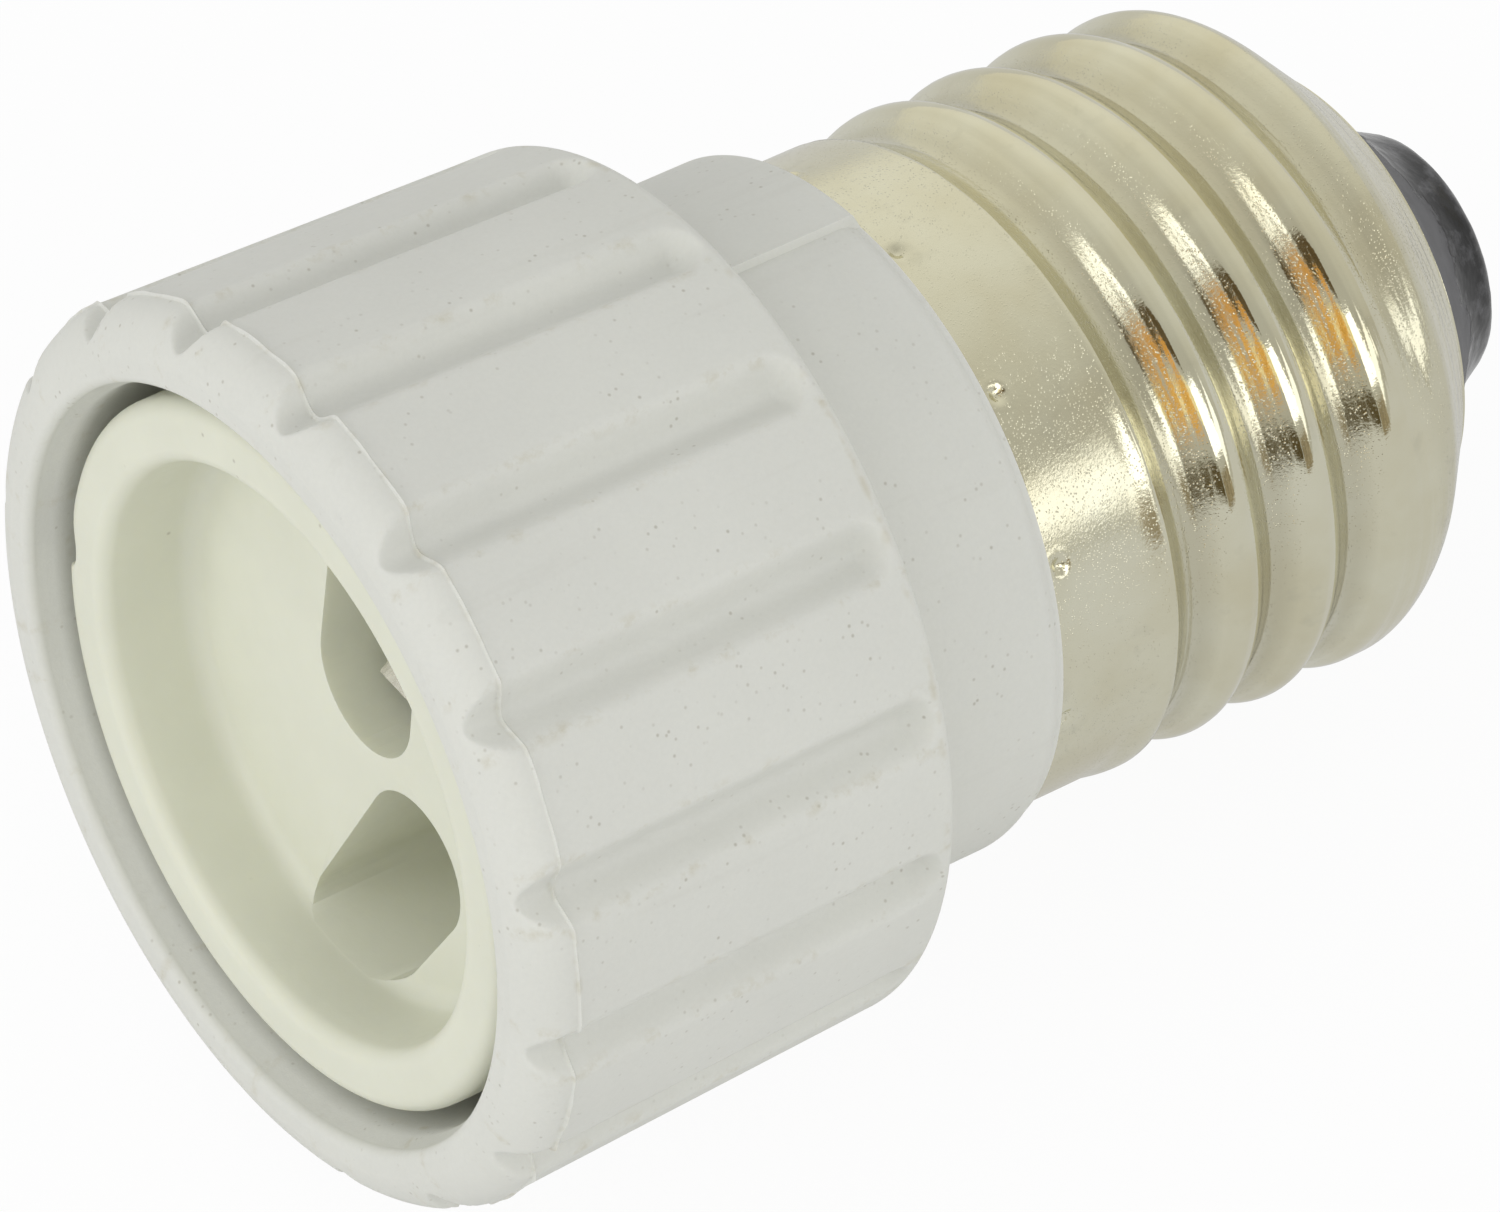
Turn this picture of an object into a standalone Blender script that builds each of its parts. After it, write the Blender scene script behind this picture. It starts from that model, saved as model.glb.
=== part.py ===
"""Lamp socket adapter: a screw cap at one end and a twist-lock lamp socket at the other.

The adapter lies on its side, mouth towards -X, on the rear edge of its grip and the end of its shell.
Every piece is drawn about its own axis, from the mouth at zero to the contact, and then laid down.
"""

import math

import bmesh
import bpy
from mathutils import Matrix, Vector

MM = 0.001

# Clearance kept between pieces that touch
GAP = 0.3 * MM

# Screw shell
SHEET = 0.3 * MM
SKIRT_RADIUS = 12.9 * MM
SKIRT_FLARE = 0.2 * MM
THREAD_DEPTH = 0.9 * MM
THREAD_PITCH = 3.629 * MM
THREAD_START = math.radians(-108.8)
SKIRT_LENGTH = 4.1 * MM
THREAD_LENGTH = 18.35 * MM
SHOULDER_LENGTH = 3.6 * MM
SHOULDER_RISE = 3.85 * MM
SHOULDER_ROUNDING = 1.2 * MM
PUNCH_COUNT = 12
PUNCH_RADIUS = 0.45 * MM
PUNCH_DEPTH = 0.17 * MM
PUNCH_SETBACK = 0.6 * MM
PUNCH_PHASE = math.radians(2.7)

# Collar, moulded in two halves that meet with a small step
COLLAR_RISE = 1.08 * MM
COLLAR_STEP = 0.26 * MM
COLLAR_LENGTH = 7.5 * MM
COLLAR_ROUNDING = 1.2 * MM
COLLAR_WALL = 2.12 * MM
COLLAR_PARTING = math.radians(86.4)
COLLAR_STEPS = 24

# Fluted grip in front of the collar
GRIP_RISE = 3.22 * MM
GRIP_DRAFT = 0.5 * MM
GRIP_LENGTH = 18.75 * MM
GRIP_WALL = 2.85 * MM
BEVEL_LENGTH = 1.75 * MM
REAR_ROUNDING = 0.55 * MM
FLUTE_COUNT = 16
FLUTE_DEPTH = 1.0 * MM
FLUTE_HALF_ANGLE = math.radians(4.4)
FLUTE_RUNOUT = 1.5 * MM

# Mouth and bore of the housing, with the seat and the ledge at its end
MOUTH_CHAMFER = 0.6 * MM
FACE_WIDTH = 0.6 * MM
BORE_DRAFT = 0.35 * MM
SEAT_WALL = 1.85 * MM
LEDGE_WIDTH = 0.9 * MM
KEY_WIDTH = 0.6 * MM

# Neck of the housing inside the screw shell
NECK_LENGTH = 6.2 * MM
NECK_WALL = 1.2 * MM

# Insulator and centre contact
TIP_HEIGHT = 4.8 * MM
TIP_RADIUS = 5.0 * MM
TIP_WEB = 1.6 * MM
CONTACT_RADIUS = 3.6 * MM
CONTACT_HEIGHT = 0.8 * MM
STEM_RADIUS = 1.6 * MM

# Ceramic socket body
CERAMIC_CLEARANCE = 0.45 * MM
CERAMIC_SETBACK = 1.0 * MM
RIM_ROUNDING = 0.7 * MM
CUP_WALL = 2.5 * MM
CUP_DEPTH = 3.9 * MM
KEYWAY_DEPTH = 0.8 * MM
POCKET_DEPTH = 6.6 * MM
POCKET_RADIUS = 2.85 * MM

# Back plate behind the ceramic body
PLATE_THICKNESS = 1.0 * MM

# Contact springs, their rivets and terminals
LEAF = 0.4 * MM
SPRING_WIDTH = 3.2 * MM
RIVET_RADIUS = 0.8 * MM
RIVET_HEAD = 1.5 * MM

# Leads
WIRE_RADIUS = 0.5 * MM
LEAD_REACH = 4.7 * MM
SLEEVE_WALL = 0.3 * MM

# Radii that follow from the sizes above, from the shell outwards
CREST_RADIUS = SKIRT_RADIUS + SKIRT_FLARE
END_RADIUS = CREST_RADIUS - SHOULDER_RISE
NECK_RADIUS = SKIRT_RADIUS - SHEET - GAP
NECK_TIP_RADIUS = CREST_RADIUS - THREAD_DEPTH - SHEET - GAP
COLLAR_UPPER_RADIUS = SKIRT_RADIUS + COLLAR_RISE
COLLAR_LOWER_RADIUS = COLLAR_UPPER_RADIUS - COLLAR_STEP
HOLLOW_RADIUS = COLLAR_LOWER_RADIUS - COLLAR_WALL
GRIP_REAR_RADIUS = COLLAR_UPPER_RADIUS + GRIP_RISE
GRIP_FRONT_RADIUS = GRIP_REAR_RADIUS + GRIP_DRAFT
SEAT_RADIUS = GRIP_REAR_RADIUS - GRIP_WALL
BORE_RADIUS = SEAT_RADIUS + BORE_DRAFT
MOUTH_RADIUS = BORE_RADIUS + MOUTH_CHAMFER
FACE_RADIUS = MOUTH_RADIUS + FACE_WIDTH
CERAMIC_RADIUS = SEAT_RADIUS - CERAMIC_CLEARANCE
CUP_RADIUS = CERAMIC_RADIUS - CUP_WALL
LEDGE_RADIUS = HOLLOW_RADIUS + LEDGE_WIDTH
PLATE_RADIUS = LEDGE_RADIUS - GAP

# Positions along the axis that follow, from the mouth to the contact
SEAT = GRIP_LENGTH - SEAT_WALL
CERAMIC_BACK = SEAT - GAP
FLOOR = CERAMIC_SETBACK + CUP_DEPTH
POCKET_FLOOR = FLOOR + POCKET_DEPTH
PLATE_FRONT = SEAT + LEAF + GAP
PLATE_BACK = PLATE_FRONT + PLATE_THICKNESS
LEDGE = PLATE_BACK + GAP
COLLAR_END = GRIP_LENGTH + COLLAR_LENGTH
NECK_END = COLLAR_END + NECK_LENGTH
SHELL_START = COLLAR_END + GAP
THREAD_FIRST = SHELL_START + SKIRT_LENGTH
THREAD_TURNS = (THREAD_LENGTH - SKIRT_LENGTH) / THREAD_PITCH
SHELL_END = SHELL_START + THREAD_LENGTH + SHOULDER_LENGTH
TIP_END = SHELL_END + TIP_HEIGHT

# The two pockets in the cup's floor: centre of the round end and the way that the channel runs
POCKETS = {
    "neutral": (Vector((0.0, 0.2 * MM, 1.65 * MM)), math.radians(91)),
    "live": (Vector((0.0, -3.5 * MM, -4.3 * MM)), math.radians(-64.5)),
}


def material(name, colour, roughness, metallic=0.0):
    """Return a Principled material of one plain colour."""
    made = bpy.data.materials.new(name)
    made.use_nodes = True
    shader = made.node_tree.nodes["Principled BSDF"]
    shader.inputs["Base Color"].default_value = (*colour, 1.0)
    shader.inputs["Roughness"].default_value = roughness
    shader.inputs["Metallic"].default_value = metallic
    return made


def finish(bm, name, surface, smooth=35.0):
    """Turn a bmesh into a named object with one material."""
    bmesh.ops.remove_doubles(bm, verts=bm.verts, dist=1e-7)
    bmesh.ops.recalc_face_normals(bm, faces=bm.faces)
    mesh = bpy.data.meshes.new(name)
    bm.to_mesh(mesh)
    bm.free()
    mesh.shade_smooth()
    mesh.set_sharp_from_angle(angle=math.radians(smooth))
    mesh.materials.append(surface)
    made = bpy.data.objects.new(name, mesh)
    bpy.context.collection.objects.link(made)
    return made


def around(x, radius, angle):
    """Return the point at an angle from +Y towards +Z about the axis."""
    return Vector((x, radius * math.cos(angle), radius * math.sin(angle)))


def even(count, phase=0.0):
    """Return evenly spaced angles of a whole turn."""
    return [phase + math.tau * i / count for i in range(count)]


def add_ring(bm, points):
    """Add a closed ring of vertices and return them."""
    return [bm.verts.new(point) for point in points]


def join_rings(bm, first, second):
    """Skin two rings of equal count with quads."""
    for i in range(len(first)):
        j = (i + 1) % len(first)
        bm.faces.new((first[i], first[j], second[j], second[i]))


def skin(bm, rings):
    """Skin a run of rings and return the vertices of the first and the last."""
    made = [add_ring(bm, ring) for ring in rings]
    for first, second in zip(made, made[1:]):
        join_rings(bm, first, second)
    return made[0], made[-1]


def edges_of(bm, ring):
    """Return the edges that join the vertices of a ring, adding those that are missing."""
    found = []
    for i, vert in enumerate(ring):
        other = ring[(i + 1) % len(ring)]
        edge = bm.edges.get((vert, other))
        found.append(edge or bm.edges.new((vert, other)))
    return found


def bridge(bm, first, second):
    """Join two rings whose counts may differ."""
    bmesh.ops.bridge_loops(bm, edges=edges_of(bm, first) + edges_of(bm, second))


def turned(name, surface, profile, segments, phase=0.0, smooth=35.0):
    """Turn a closed profile of (x, radius) points about the axis."""
    bm = bmesh.new()
    verts = [bm.verts.new(around(x, radius, phase)) for x, radius in profile]
    edges = [bm.edges.new((a, b)) for a, b in zip(verts, verts[1:])]
    if profile[0][1] > 0 or profile[-1][1] > 0:
        edges.append(bm.edges.new((verts[-1], verts[0])))
    bmesh.ops.spin(
        bm,
        geom=verts + edges,
        cent=(0, 0, 0),
        axis=(1, 0, 0),
        angle=math.tau,
        steps=segments,
        use_merge=True,
    )
    return finish(bm, name, surface, smooth)


def arc(centre, radius, start, end, steps):
    """Return points of an arc in the plane of axis and radius."""
    points = []
    for i in range(steps + 1):
        angle = math.radians(start + (end - start) * i / steps)
        points.append((centre[0] + radius * math.cos(angle), centre[1] + radius * math.sin(angle)))
    return points


def cut(target, cutters, operation="DIFFERENCE"):
    """Apply a Boolean with each cutter and drop the cutter."""
    for cutter in cutters:
        cutter.hide_render = True
        cutter.display_type = "WIRE"
        modifier = target.modifiers.new("cut", "BOOLEAN")
        modifier.operation = operation
        modifier.solver = "EXACT"
        modifier.object = cutter
    apply_modifiers(target)
    for cutter in cutters:
        bpy.data.objects.remove(cutter)
    return target


def apply_modifiers(target):
    """Replace an object's mesh by its evaluated mesh."""
    bpy.context.view_layer.update()
    graph = bpy.context.evaluated_depsgraph_get()
    mesh = bpy.data.meshes.new_from_object(target.evaluated_get(graph))
    target.modifiers.clear()
    target.data = mesh


def prism(name, outline, start, end):
    """Extrude an outline of (y, z) points from one axial position to another."""
    bm = bmesh.new()
    verts = [bm.verts.new((start, y, z)) for y, z in outline]
    face = bm.faces.new(verts)
    made = bmesh.ops.extrude_face_region(bm, geom=[face])
    moved = [item for item in made["geom"] if isinstance(item, bmesh.types.BMVert)]
    bmesh.ops.translate(bm, verts=moved, vec=(end - start, 0, 0))
    return finish(bm, name, PLAIN)


def rod(name, surface, centre, radius, start, end, segments=16):
    """Return a cylinder along the axis about a point of the section."""
    outline = [
        (centre.y + radius * math.cos(angle), centre.z + radius * math.sin(angle))
        for angle in even(segments)
    ]
    made = prism(name, outline, start, end)
    made.data.materials.clear()
    made.data.materials.append(surface)
    return made


def grip_radius(x):
    """Return the radius of the panels at an axial position."""
    share = (x - BEVEL_LENGTH) / (GRIP_LENGTH - REAR_ROUNDING - BEVEL_LENGTH)
    return GRIP_FRONT_RADIUS + (GRIP_REAR_RADIUS - GRIP_FRONT_RADIUS) * share


def flute_angles():
    """Return the angles around the grip, close together across each flute."""
    pitch = math.tau / FLUTE_COUNT
    panel = pitch - 2 * FLUTE_HALF_ANGLE
    angles = []
    for i in range(FLUTE_COUNT):
        centre = -math.pi / 2 + i * pitch
        for step in range(-3, 4):
            angles.append(centre + FLUTE_HALF_ANGLE * step / 3)
        angles.append(centre + FLUTE_HALF_ANGLE + panel / 2)
    return angles


def flute_depth(angle):
    """Return how far the section of the flutes lies inside the panels at an angle."""
    pitch = math.tau / FLUTE_COUNT
    away = abs((angle + math.pi / 2 + pitch / 2) % pitch - pitch / 2) / FLUTE_HALF_ANGLE
    if away >= 1:
        return 0.0
    return FLUTE_DEPTH * 0.5 * (1 + math.cos(math.pi * away))


def grip_rings():
    """Return the rings of the fluted grip from the front face to the rear face."""
    angles = flute_angles()
    rise = GRIP_FRONT_RADIUS - FACE_RADIUS
    rings = []
    for step in range(6):
        turn = math.radians(90) * (step / 5) ** 1.15
        x = BEVEL_LENGTH * (1 - math.cos(turn))
        radius = FACE_RADIUS + rise * math.sin(turn) ** 1.1
        rings.append((x, radius, 1.0))
    run = GRIP_LENGTH - FLUTE_RUNOUT
    rings.append((BEVEL_LENGTH + 0.45 * (run - BEVEL_LENGTH), None, 1.0))
    for step in range(3):
        rings.append((run + (FLUTE_RUNOUT - REAR_ROUNDING) * step / 2, None, 1 - 0.3 * step / 2))
    for x, radius in arc((GRIP_LENGTH - REAR_ROUNDING, GRIP_REAR_RADIUS - REAR_ROUNDING), REAR_ROUNDING, 67.5, 0, 3):
        rings.append((x, radius, 0.7 - 0.6 * (x - GRIP_LENGTH + REAR_ROUNDING) / REAR_ROUNDING))
    points = []
    for x, radius, share in rings:
        panel = grip_radius(x) if radius is None else radius
        ring = []
        for angle in angles:
            floor = grip_radius(max(x, BEVEL_LENGTH)) - share * flute_depth(angle)
            ring.append(around(x, min(panel, floor), angle))
        points.append(ring)
    points.append([around(GRIP_LENGTH, COLLAR_UPPER_RADIUS + 0.5 * MM, angle) for angle in angles])
    return points


def collar_angles():
    """Return angles for the plain rings, with a close pair at each parting line."""
    step = math.radians(0.4)
    angles = []
    for half in range(2):
        start = COLLAR_PARTING - math.pi * (half + 1)
        for i in range(COLLAR_STEPS + 1):
            angles.append(start + step + (math.pi - 2 * step) * i / COLLAR_STEPS)
    return angles


def plain_ring(x, radius, lower=None):
    """Return a ring whose upper and lower halves may differ in radius."""
    points = []
    for i, angle in enumerate(collar_angles()):
        points.append(around(x, radius if i <= COLLAR_STEPS or lower is None else lower, angle))
    return points


def build_housing():
    """Build the one moulding: grip, collar and neck."""
    bm = bmesh.new()
    front, rear = skin(bm, grip_rings())
    upper, lower = COLLAR_UPPER_RADIUS, COLLAR_LOWER_RADIUS
    rings = [
        plain_ring(GRIP_LENGTH, upper + 0.25 * MM, lower + 0.25 * MM),
        plain_ring(GRIP_LENGTH + 0.25 * MM, upper, lower),
    ]
    for i, (x, radius) in enumerate(arc((-COLLAR_ROUNDING, -COLLAR_ROUNDING), COLLAR_ROUNDING, 90, 0, 5)):
        sharp = 0.3 * i / 5 * MM
        rings.append(plain_ring(COLLAR_END + x, upper - sharp, lower + radius))
    rings.append(plain_ring(COLLAR_END, NECK_RADIUS))
    neck_inner = NECK_TIP_RADIUS - NECK_WALL
    rings += [
        plain_ring(THREAD_FIRST - 1.2 * MM, NECK_RADIUS),
        plain_ring(THREAD_FIRST - 0.8 * MM, NECK_TIP_RADIUS),
        plain_ring(NECK_END, NECK_TIP_RADIUS),
        plain_ring(NECK_END, neck_inner),
        plain_ring(COLLAR_END - 0.8 * MM, neck_inner),
        plain_ring(COLLAR_END - 1.6 * MM, HOLLOW_RADIUS),
        plain_ring(LEDGE, HOLLOW_RADIUS),
        plain_ring(LEDGE, LEDGE_RADIUS),
        plain_ring(SEAT, LEDGE_RADIUS),
        plain_ring(SEAT, SEAT_RADIUS),
        plain_ring(0.75 * MM, BORE_RADIUS),
        plain_ring(0.3 * MM, MOUTH_RADIUS - 0.35 * MOUTH_CHAMFER),
        plain_ring(0.0, MOUTH_RADIUS),
    ]
    start, end = skin(bm, rings)
    bridge(bm, rear, start)
    bridge(bm, end, front)
    housing = finish(bm, "housing", PLASTIC, 30.0)
    # The key that stops the ceramic body from turning
    key = prism(
        "key",
        [
            (CERAMIC_RADIUS - KEYWAY_DEPTH + GAP + 0.1 * MM, -KEY_WIDTH / 2 - 0.35 * MM),
            (BORE_RADIUS + 0.4 * MM, -KEY_WIDTH / 2 - 0.35 * MM),
            (BORE_RADIUS + 0.4 * MM, KEY_WIDTH / 2 - 0.35 * MM),
            (CERAMIC_RADIUS - KEYWAY_DEPTH + GAP + 0.1 * MM, KEY_WIDTH / 2 - 0.35 * MM),
        ],
        7.0 * MM,
        SEAT + 0.4 * MM,
    )
    return cut(housing, [key], "UNION")


def shell_radius(x):
    """Return the outer radius of the screw shell without its thread."""
    blend = min(max((x - THREAD_FIRST) / (1.5 * MM), 0.0), 1.0)
    radius = SKIRT_RADIUS + (CREST_RADIUS - SKIRT_RADIUS) * blend * blend * (3 - 2 * blend)
    cone = END_RADIUS + (SHELL_END - x) * SHOULDER_RISE / SHOULDER_LENGTH
    near = max(1 - abs(cone - radius) / SHOULDER_ROUNDING, 0.0)
    return min(radius, cone) - near * near * SHOULDER_ROUNDING / 4


def shell_point(turn, across):
    """Return a point of the thread at a number of turns and a share of the pitch."""
    x = THREAD_FIRST - THREAD_PITCH / 2 + THREAD_PITCH * (turn + across)
    x = min(max(x, THREAD_FIRST - THREAD_PITCH / 2), SHELL_END - 1.2 * MM)
    fade = min(max(min(turn / 0.4, (THREAD_TURNS - turn) / 0.4), 0.0), 1.0)
    groove = 0.5 * (1 - math.cos(math.tau * across))
    depth = THREAD_DEPTH * groove * fade * fade * (3 - 2 * fade)
    return around(x, shell_radius(x) - depth, THREAD_START + math.tau * turn)


def build_shell():
    """Build the rolled sheet shell with its thread, shoulder and punch marks."""
    columns, rows = 32, 6
    last = SHELL_END - 1.2 * MM
    turns = (last - THREAD_FIRST + THREAD_PITCH / 2) / THREAD_PITCH
    bm = bmesh.new()
    grid = []
    for i in range(-columns, math.ceil(columns * turns) + 1):
        grid.append([bm.verts.new(shell_point(i / columns, j / rows)) for j in range(rows + 1)])
    for first, second in zip(grid, grid[1:]):
        for j in range(rows):
            bm.faces.new((first[j], second[j], second[j + 1], first[j + 1]))
    bmesh.ops.remove_doubles(bm, verts=bm.verts, dist=1e-6)
    bmesh.ops.dissolve_degenerate(bm, edges=bm.edges, dist=1e-6)
    angles = even(columns, THREAD_START)
    skin(bm, [[around(x, SKIRT_RADIUS, a) for a in angles] for x in (SHELL_START, THREAD_FIRST - THREAD_PITCH / 2)])
    shoulder = []
    for i in range(5):
        x = last + (SHELL_END - last) * math.sin(math.radians(90) * i / 4)
        shoulder.append([around(x, shell_radius(x), a) for a in angles])
    skin(bm, shoulder)
    shell = finish(bm, "screw_shell", NICKEL, 40.0)
    sheet = shell.modifiers.new("sheet", "SOLIDIFY")
    sheet.thickness = SHEET
    sheet.offset = -1.0
    apply_modifiers(shell)
    punches = []
    for i in range(PUNCH_COUNT):
        angle = PUNCH_PHASE + math.tau * i / PUNCH_COUNT
        punches.append(build_punch(angle))
    return cut(shell, punches)


def build_punch(angle):
    """Return the small cone that marks one punch at the edge of the shell."""
    bm = bmesh.new()
    bmesh.ops.create_cone(
        bm,
        cap_ends=True,
        segments=8,
        radius1=PUNCH_RADIUS * 0.35,
        radius2=PUNCH_RADIUS * 1.6,
        depth=PUNCH_DEPTH * 3,
    )
    lift = Matrix.Translation((0, 0, SKIRT_RADIUS - PUNCH_DEPTH + PUNCH_DEPTH * 1.5))
    stand = Matrix.Rotation(angle - math.pi / 2, 4, "X")
    slide = Matrix.Translation((SHELL_START + PUNCH_SETBACK, 0, 0))
    bmesh.ops.transform(bm, matrix=slide @ stand @ lift, verts=bm.verts)
    return finish(bm, "punch", PLAIN)


def build_insulator():
    """Build the moulded glass insulator that fills the end of the shell."""
    slope = SHOULDER_RISE / SHOULDER_LENGTH
    throat = END_RADIUS - (SHEET + GAP) * math.hypot(1, slope)
    seat = SHOULDER_LENGTH * 0.45
    profile = [
        (TIP_END - TIP_WEB, STEM_RADIUS + GAP),
        (TIP_END - TIP_WEB, TIP_RADIUS - 1.8 * MM),
        (SHELL_END + 0.2 * TIP_HEIGHT, TIP_RADIUS - 0.4 * MM),
        (SHELL_END - seat - 0.9 * MM, throat - 1.6 * MM),
        (SHELL_END - seat - 0.9 * MM, throat + seat * slope - 0.5 * MM),
        (SHELL_END - seat - 0.4 * MM, throat + seat * slope),
        (SHELL_END - seat, throat + seat * slope),
        (SHELL_END, throat),
        (SHELL_END + GAP, throat + 0.4 * MM),
        (SHELL_END + 0.11 * TIP_HEIGHT, throat + 0.1 * MM),
        (SHELL_END + 0.31 * TIP_HEIGHT, TIP_RADIUS + 2.35 * MM),
        (SHELL_END + 0.52 * TIP_HEIGHT, TIP_RADIUS + 1.3 * MM),
        (SHELL_END + 0.77 * TIP_HEIGHT, TIP_RADIUS + 0.5 * MM),
        (SHELL_END + 0.95 * TIP_HEIGHT, TIP_RADIUS),
        (TIP_END, TIP_RADIUS - 0.4 * MM),
        (TIP_END, STEM_RADIUS + GAP),
    ]
    return turned("tip_insulator", INSULATOR, profile, 32)


def build_contact():
    """Build the centre contact: a pressed cap with a hollow stem through the insulator."""
    bore = WIRE_RADIUS + GAP
    front = TIP_END + GAP
    profile = [
        (TIP_END - TIP_WEB - 0.8 * MM, bore),
        (TIP_END - TIP_WEB - 0.8 * MM, STEM_RADIUS),
        (front, STEM_RADIUS),
        (front, CONTACT_RADIUS),
        (front + 0.25 * MM, CONTACT_RADIUS),
        (front + 0.55 * MM, CONTACT_RADIUS - 0.6 * MM),
        (front + 0.9 * CONTACT_HEIGHT, CONTACT_RADIUS - 1.5 * MM),
        (front + CONTACT_HEIGHT, STEM_RADIUS),
        (front + CONTACT_HEIGHT, bore + 0.3 * MM),
        (front + CONTACT_HEIGHT - 0.4 * MM, bore),
    ]
    return turned("centre_contact", NICKEL, profile, 20)


def build_solder(name, centre, radius, squash=1.0):
    """Return one small bead of solder."""
    bm = bmesh.new()
    bmesh.ops.create_uvsphere(bm, u_segments=10, v_segments=6, radius=radius)
    bmesh.ops.scale(bm, vec=(squash, 1, 1), verts=bm.verts)
    bmesh.ops.translate(bm, vec=centre, verts=bm.verts)
    return finish(bm, name, SOLDER)


def ceramic_rings():
    """Return the rings of the ceramic body from the back over the rim to the cup's floor."""
    edges = [math.radians(angle) for angle in (8.0, -1.5, -3.5, -6.3)]
    angles = sorted(angle % math.tau for angle in even(40, math.radians(20)) + edges)
    front = CERAMIC_SETBACK
    outer = [(CERAMIC_BACK, CERAMIC_RADIUS - 0.4 * MM), (CERAMIC_BACK - 0.4 * MM, CERAMIC_RADIUS)]
    outer += [(x, r) for x, r in arc((front + RIM_ROUNDING, CERAMIC_RADIUS - RIM_ROUNDING), RIM_ROUNDING, 90, 180, 4)]
    inner = [(x, r) for x, r in arc((front + RIM_ROUNDING, CUP_RADIUS + RIM_ROUNDING), RIM_ROUNDING, 180, 270, 4)]
    inner += [(FLOOR - 0.3 * MM, CUP_RADIUS - 0.1 * MM), (FLOOR, CUP_RADIUS - 0.4 * MM)]
    points = []
    for x, radius in outer:
        ring = []
        for angle in angles:
            notch = keyway(math.degrees(angle))
            ring.append(around(x, min(radius, CERAMIC_RADIUS - notch), angle))
        points.append(ring)
    points += [[around(x, radius, angle) for angle in angles] for x, radius in inner]
    return points


def keyway(degrees):
    """Return the depth of the keyway in the outer wall at an angle."""
    away = (degrees + 180) % 360 - 180
    if -3.5 <= away <= 8.0:
        return KEYWAY_DEPTH * min((8.0 - away) / 9.5, 1.0)
    if -6.3 <= away < -3.5:
        return KEYWAY_DEPTH * (away + 6.3) / 2.8
    return 0.0


def pocket_outline(name, grow=0.0):
    """Return the outline of a pocket: a round end and a channel that runs out to the cup's wall."""
    centre, course = POCKETS[name]
    radius = POCKET_RADIUS + grow
    points = []
    for i in range(9):
        angle = course + math.pi / 2 + math.pi * i / 8
        points.append((centre.y + radius * math.cos(angle), centre.z + radius * math.sin(angle)))
    for side in (1, -1):
        foot = Vector((0, math.cos(course), math.sin(course)))
        aside = Vector((0, -foot.z, foot.y)) * -side * (radius - 0.2 * MM)
        start = centre + aside
        along = start.dot(foot)
        reach = -along + math.sqrt(along**2 + (CUP_RADIUS - 0.45 * MM) ** 2 - start.length_squared)
        end = start + foot * reach
        points.append((end.y, end.z))
    return points


def spring_frame(name):
    """Return the matrix that lays a contact spring in its pocket."""
    centre, course = POCKETS[name]
    return Matrix.Translation(centre) @ Matrix.Rotation(course, 4, "X")


def rivet_point(name):
    """Return the point of the section where a spring is riveted to the back plate."""
    return spring_frame(name) @ Vector((0, 2.2 * MM, 0))


def build_ceramic():
    """Build the ceramic socket body with its cup, pockets and slots for the spring tails."""
    bm = bmesh.new()
    start, end = skin(bm, ceramic_rings())
    bm.faces.new(start)
    bm.faces.new(end)
    body = finish(bm, "ceramic_body", CERAMIC, 30.0)
    cutters = []
    for name in POCKETS:
        cutters.append(prism("pocket", pocket_outline(name), FLOOR - 0.4 * MM, POCKET_FLOOR))
        slot = SPRING_WIDTH / 2 + GAP
        points = []
        for u, v in ((-1.9 * MM, -slot), (-0.9 * MM, -slot), (-0.9 * MM, slot), (-1.9 * MM, slot)):
            corner = spring_frame(name) @ Vector((0, u, v))
            points.append((corner.y, corner.z))
        cutters.append(prism("slot", points, POCKET_FLOOR - 0.5 * MM, CERAMIC_BACK + 1 * MM))
        cutters.append(rod("relief", PLAIN, rivet_point(name), RIVET_HEAD + GAP, CERAMIC_BACK - 0.9 * MM, CERAMIC_BACK + 1 * MM))
    return cut(body, cutters)


def build_plate():
    """Build the insulating plate that closes the back of the ceramic body."""
    plate = turned(
        "back_plate",
        CERAMIC,
        [(PLATE_FRONT, 0), (PLATE_FRONT, PLATE_RADIUS), (PLATE_BACK, PLATE_RADIUS), (PLATE_BACK, 0)],
        40,
    )
    holes = []
    for name in POCKETS:
        holes.append(rod("hole", PLAIN, rivet_point(name), RIVET_RADIUS + GAP, PLATE_FRONT - MM, PLATE_BACK + MM))
    return cut(plate, holes)


def strip(name, surface, path, width, frame):
    """Bend a strip of sheet along a path of (x, u) points and lay it with a frame."""
    bm = bmesh.new()
    points = [Vector((x, u, 0)) for x, u in path]
    rings = []
    for i, point in enumerate(points):
        before = points[max(i - 1, 0)]
        after = points[min(i + 1, len(points) - 1)]
        into = (point - before).normalized() if i else (after - point).normalized()
        out = (after - point).normalized() if i < len(points) - 1 else into
        mean = (into + out).normalized()
        side = Vector((-mean.y, mean.x, 0)) * (LEAF / 2 / max(mean.dot(into), 0.5))
        across = Vector((0, 0, width / 2))
        rings.append([frame @ corner for corner in (point + side + across, point - side + across, point - side - across, point + side - across)])
    start, end = skin(bm, rings)
    bm.faces.new(start)
    bm.faces.new(end)
    return finish(bm, name, surface, 30.0)


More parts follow.
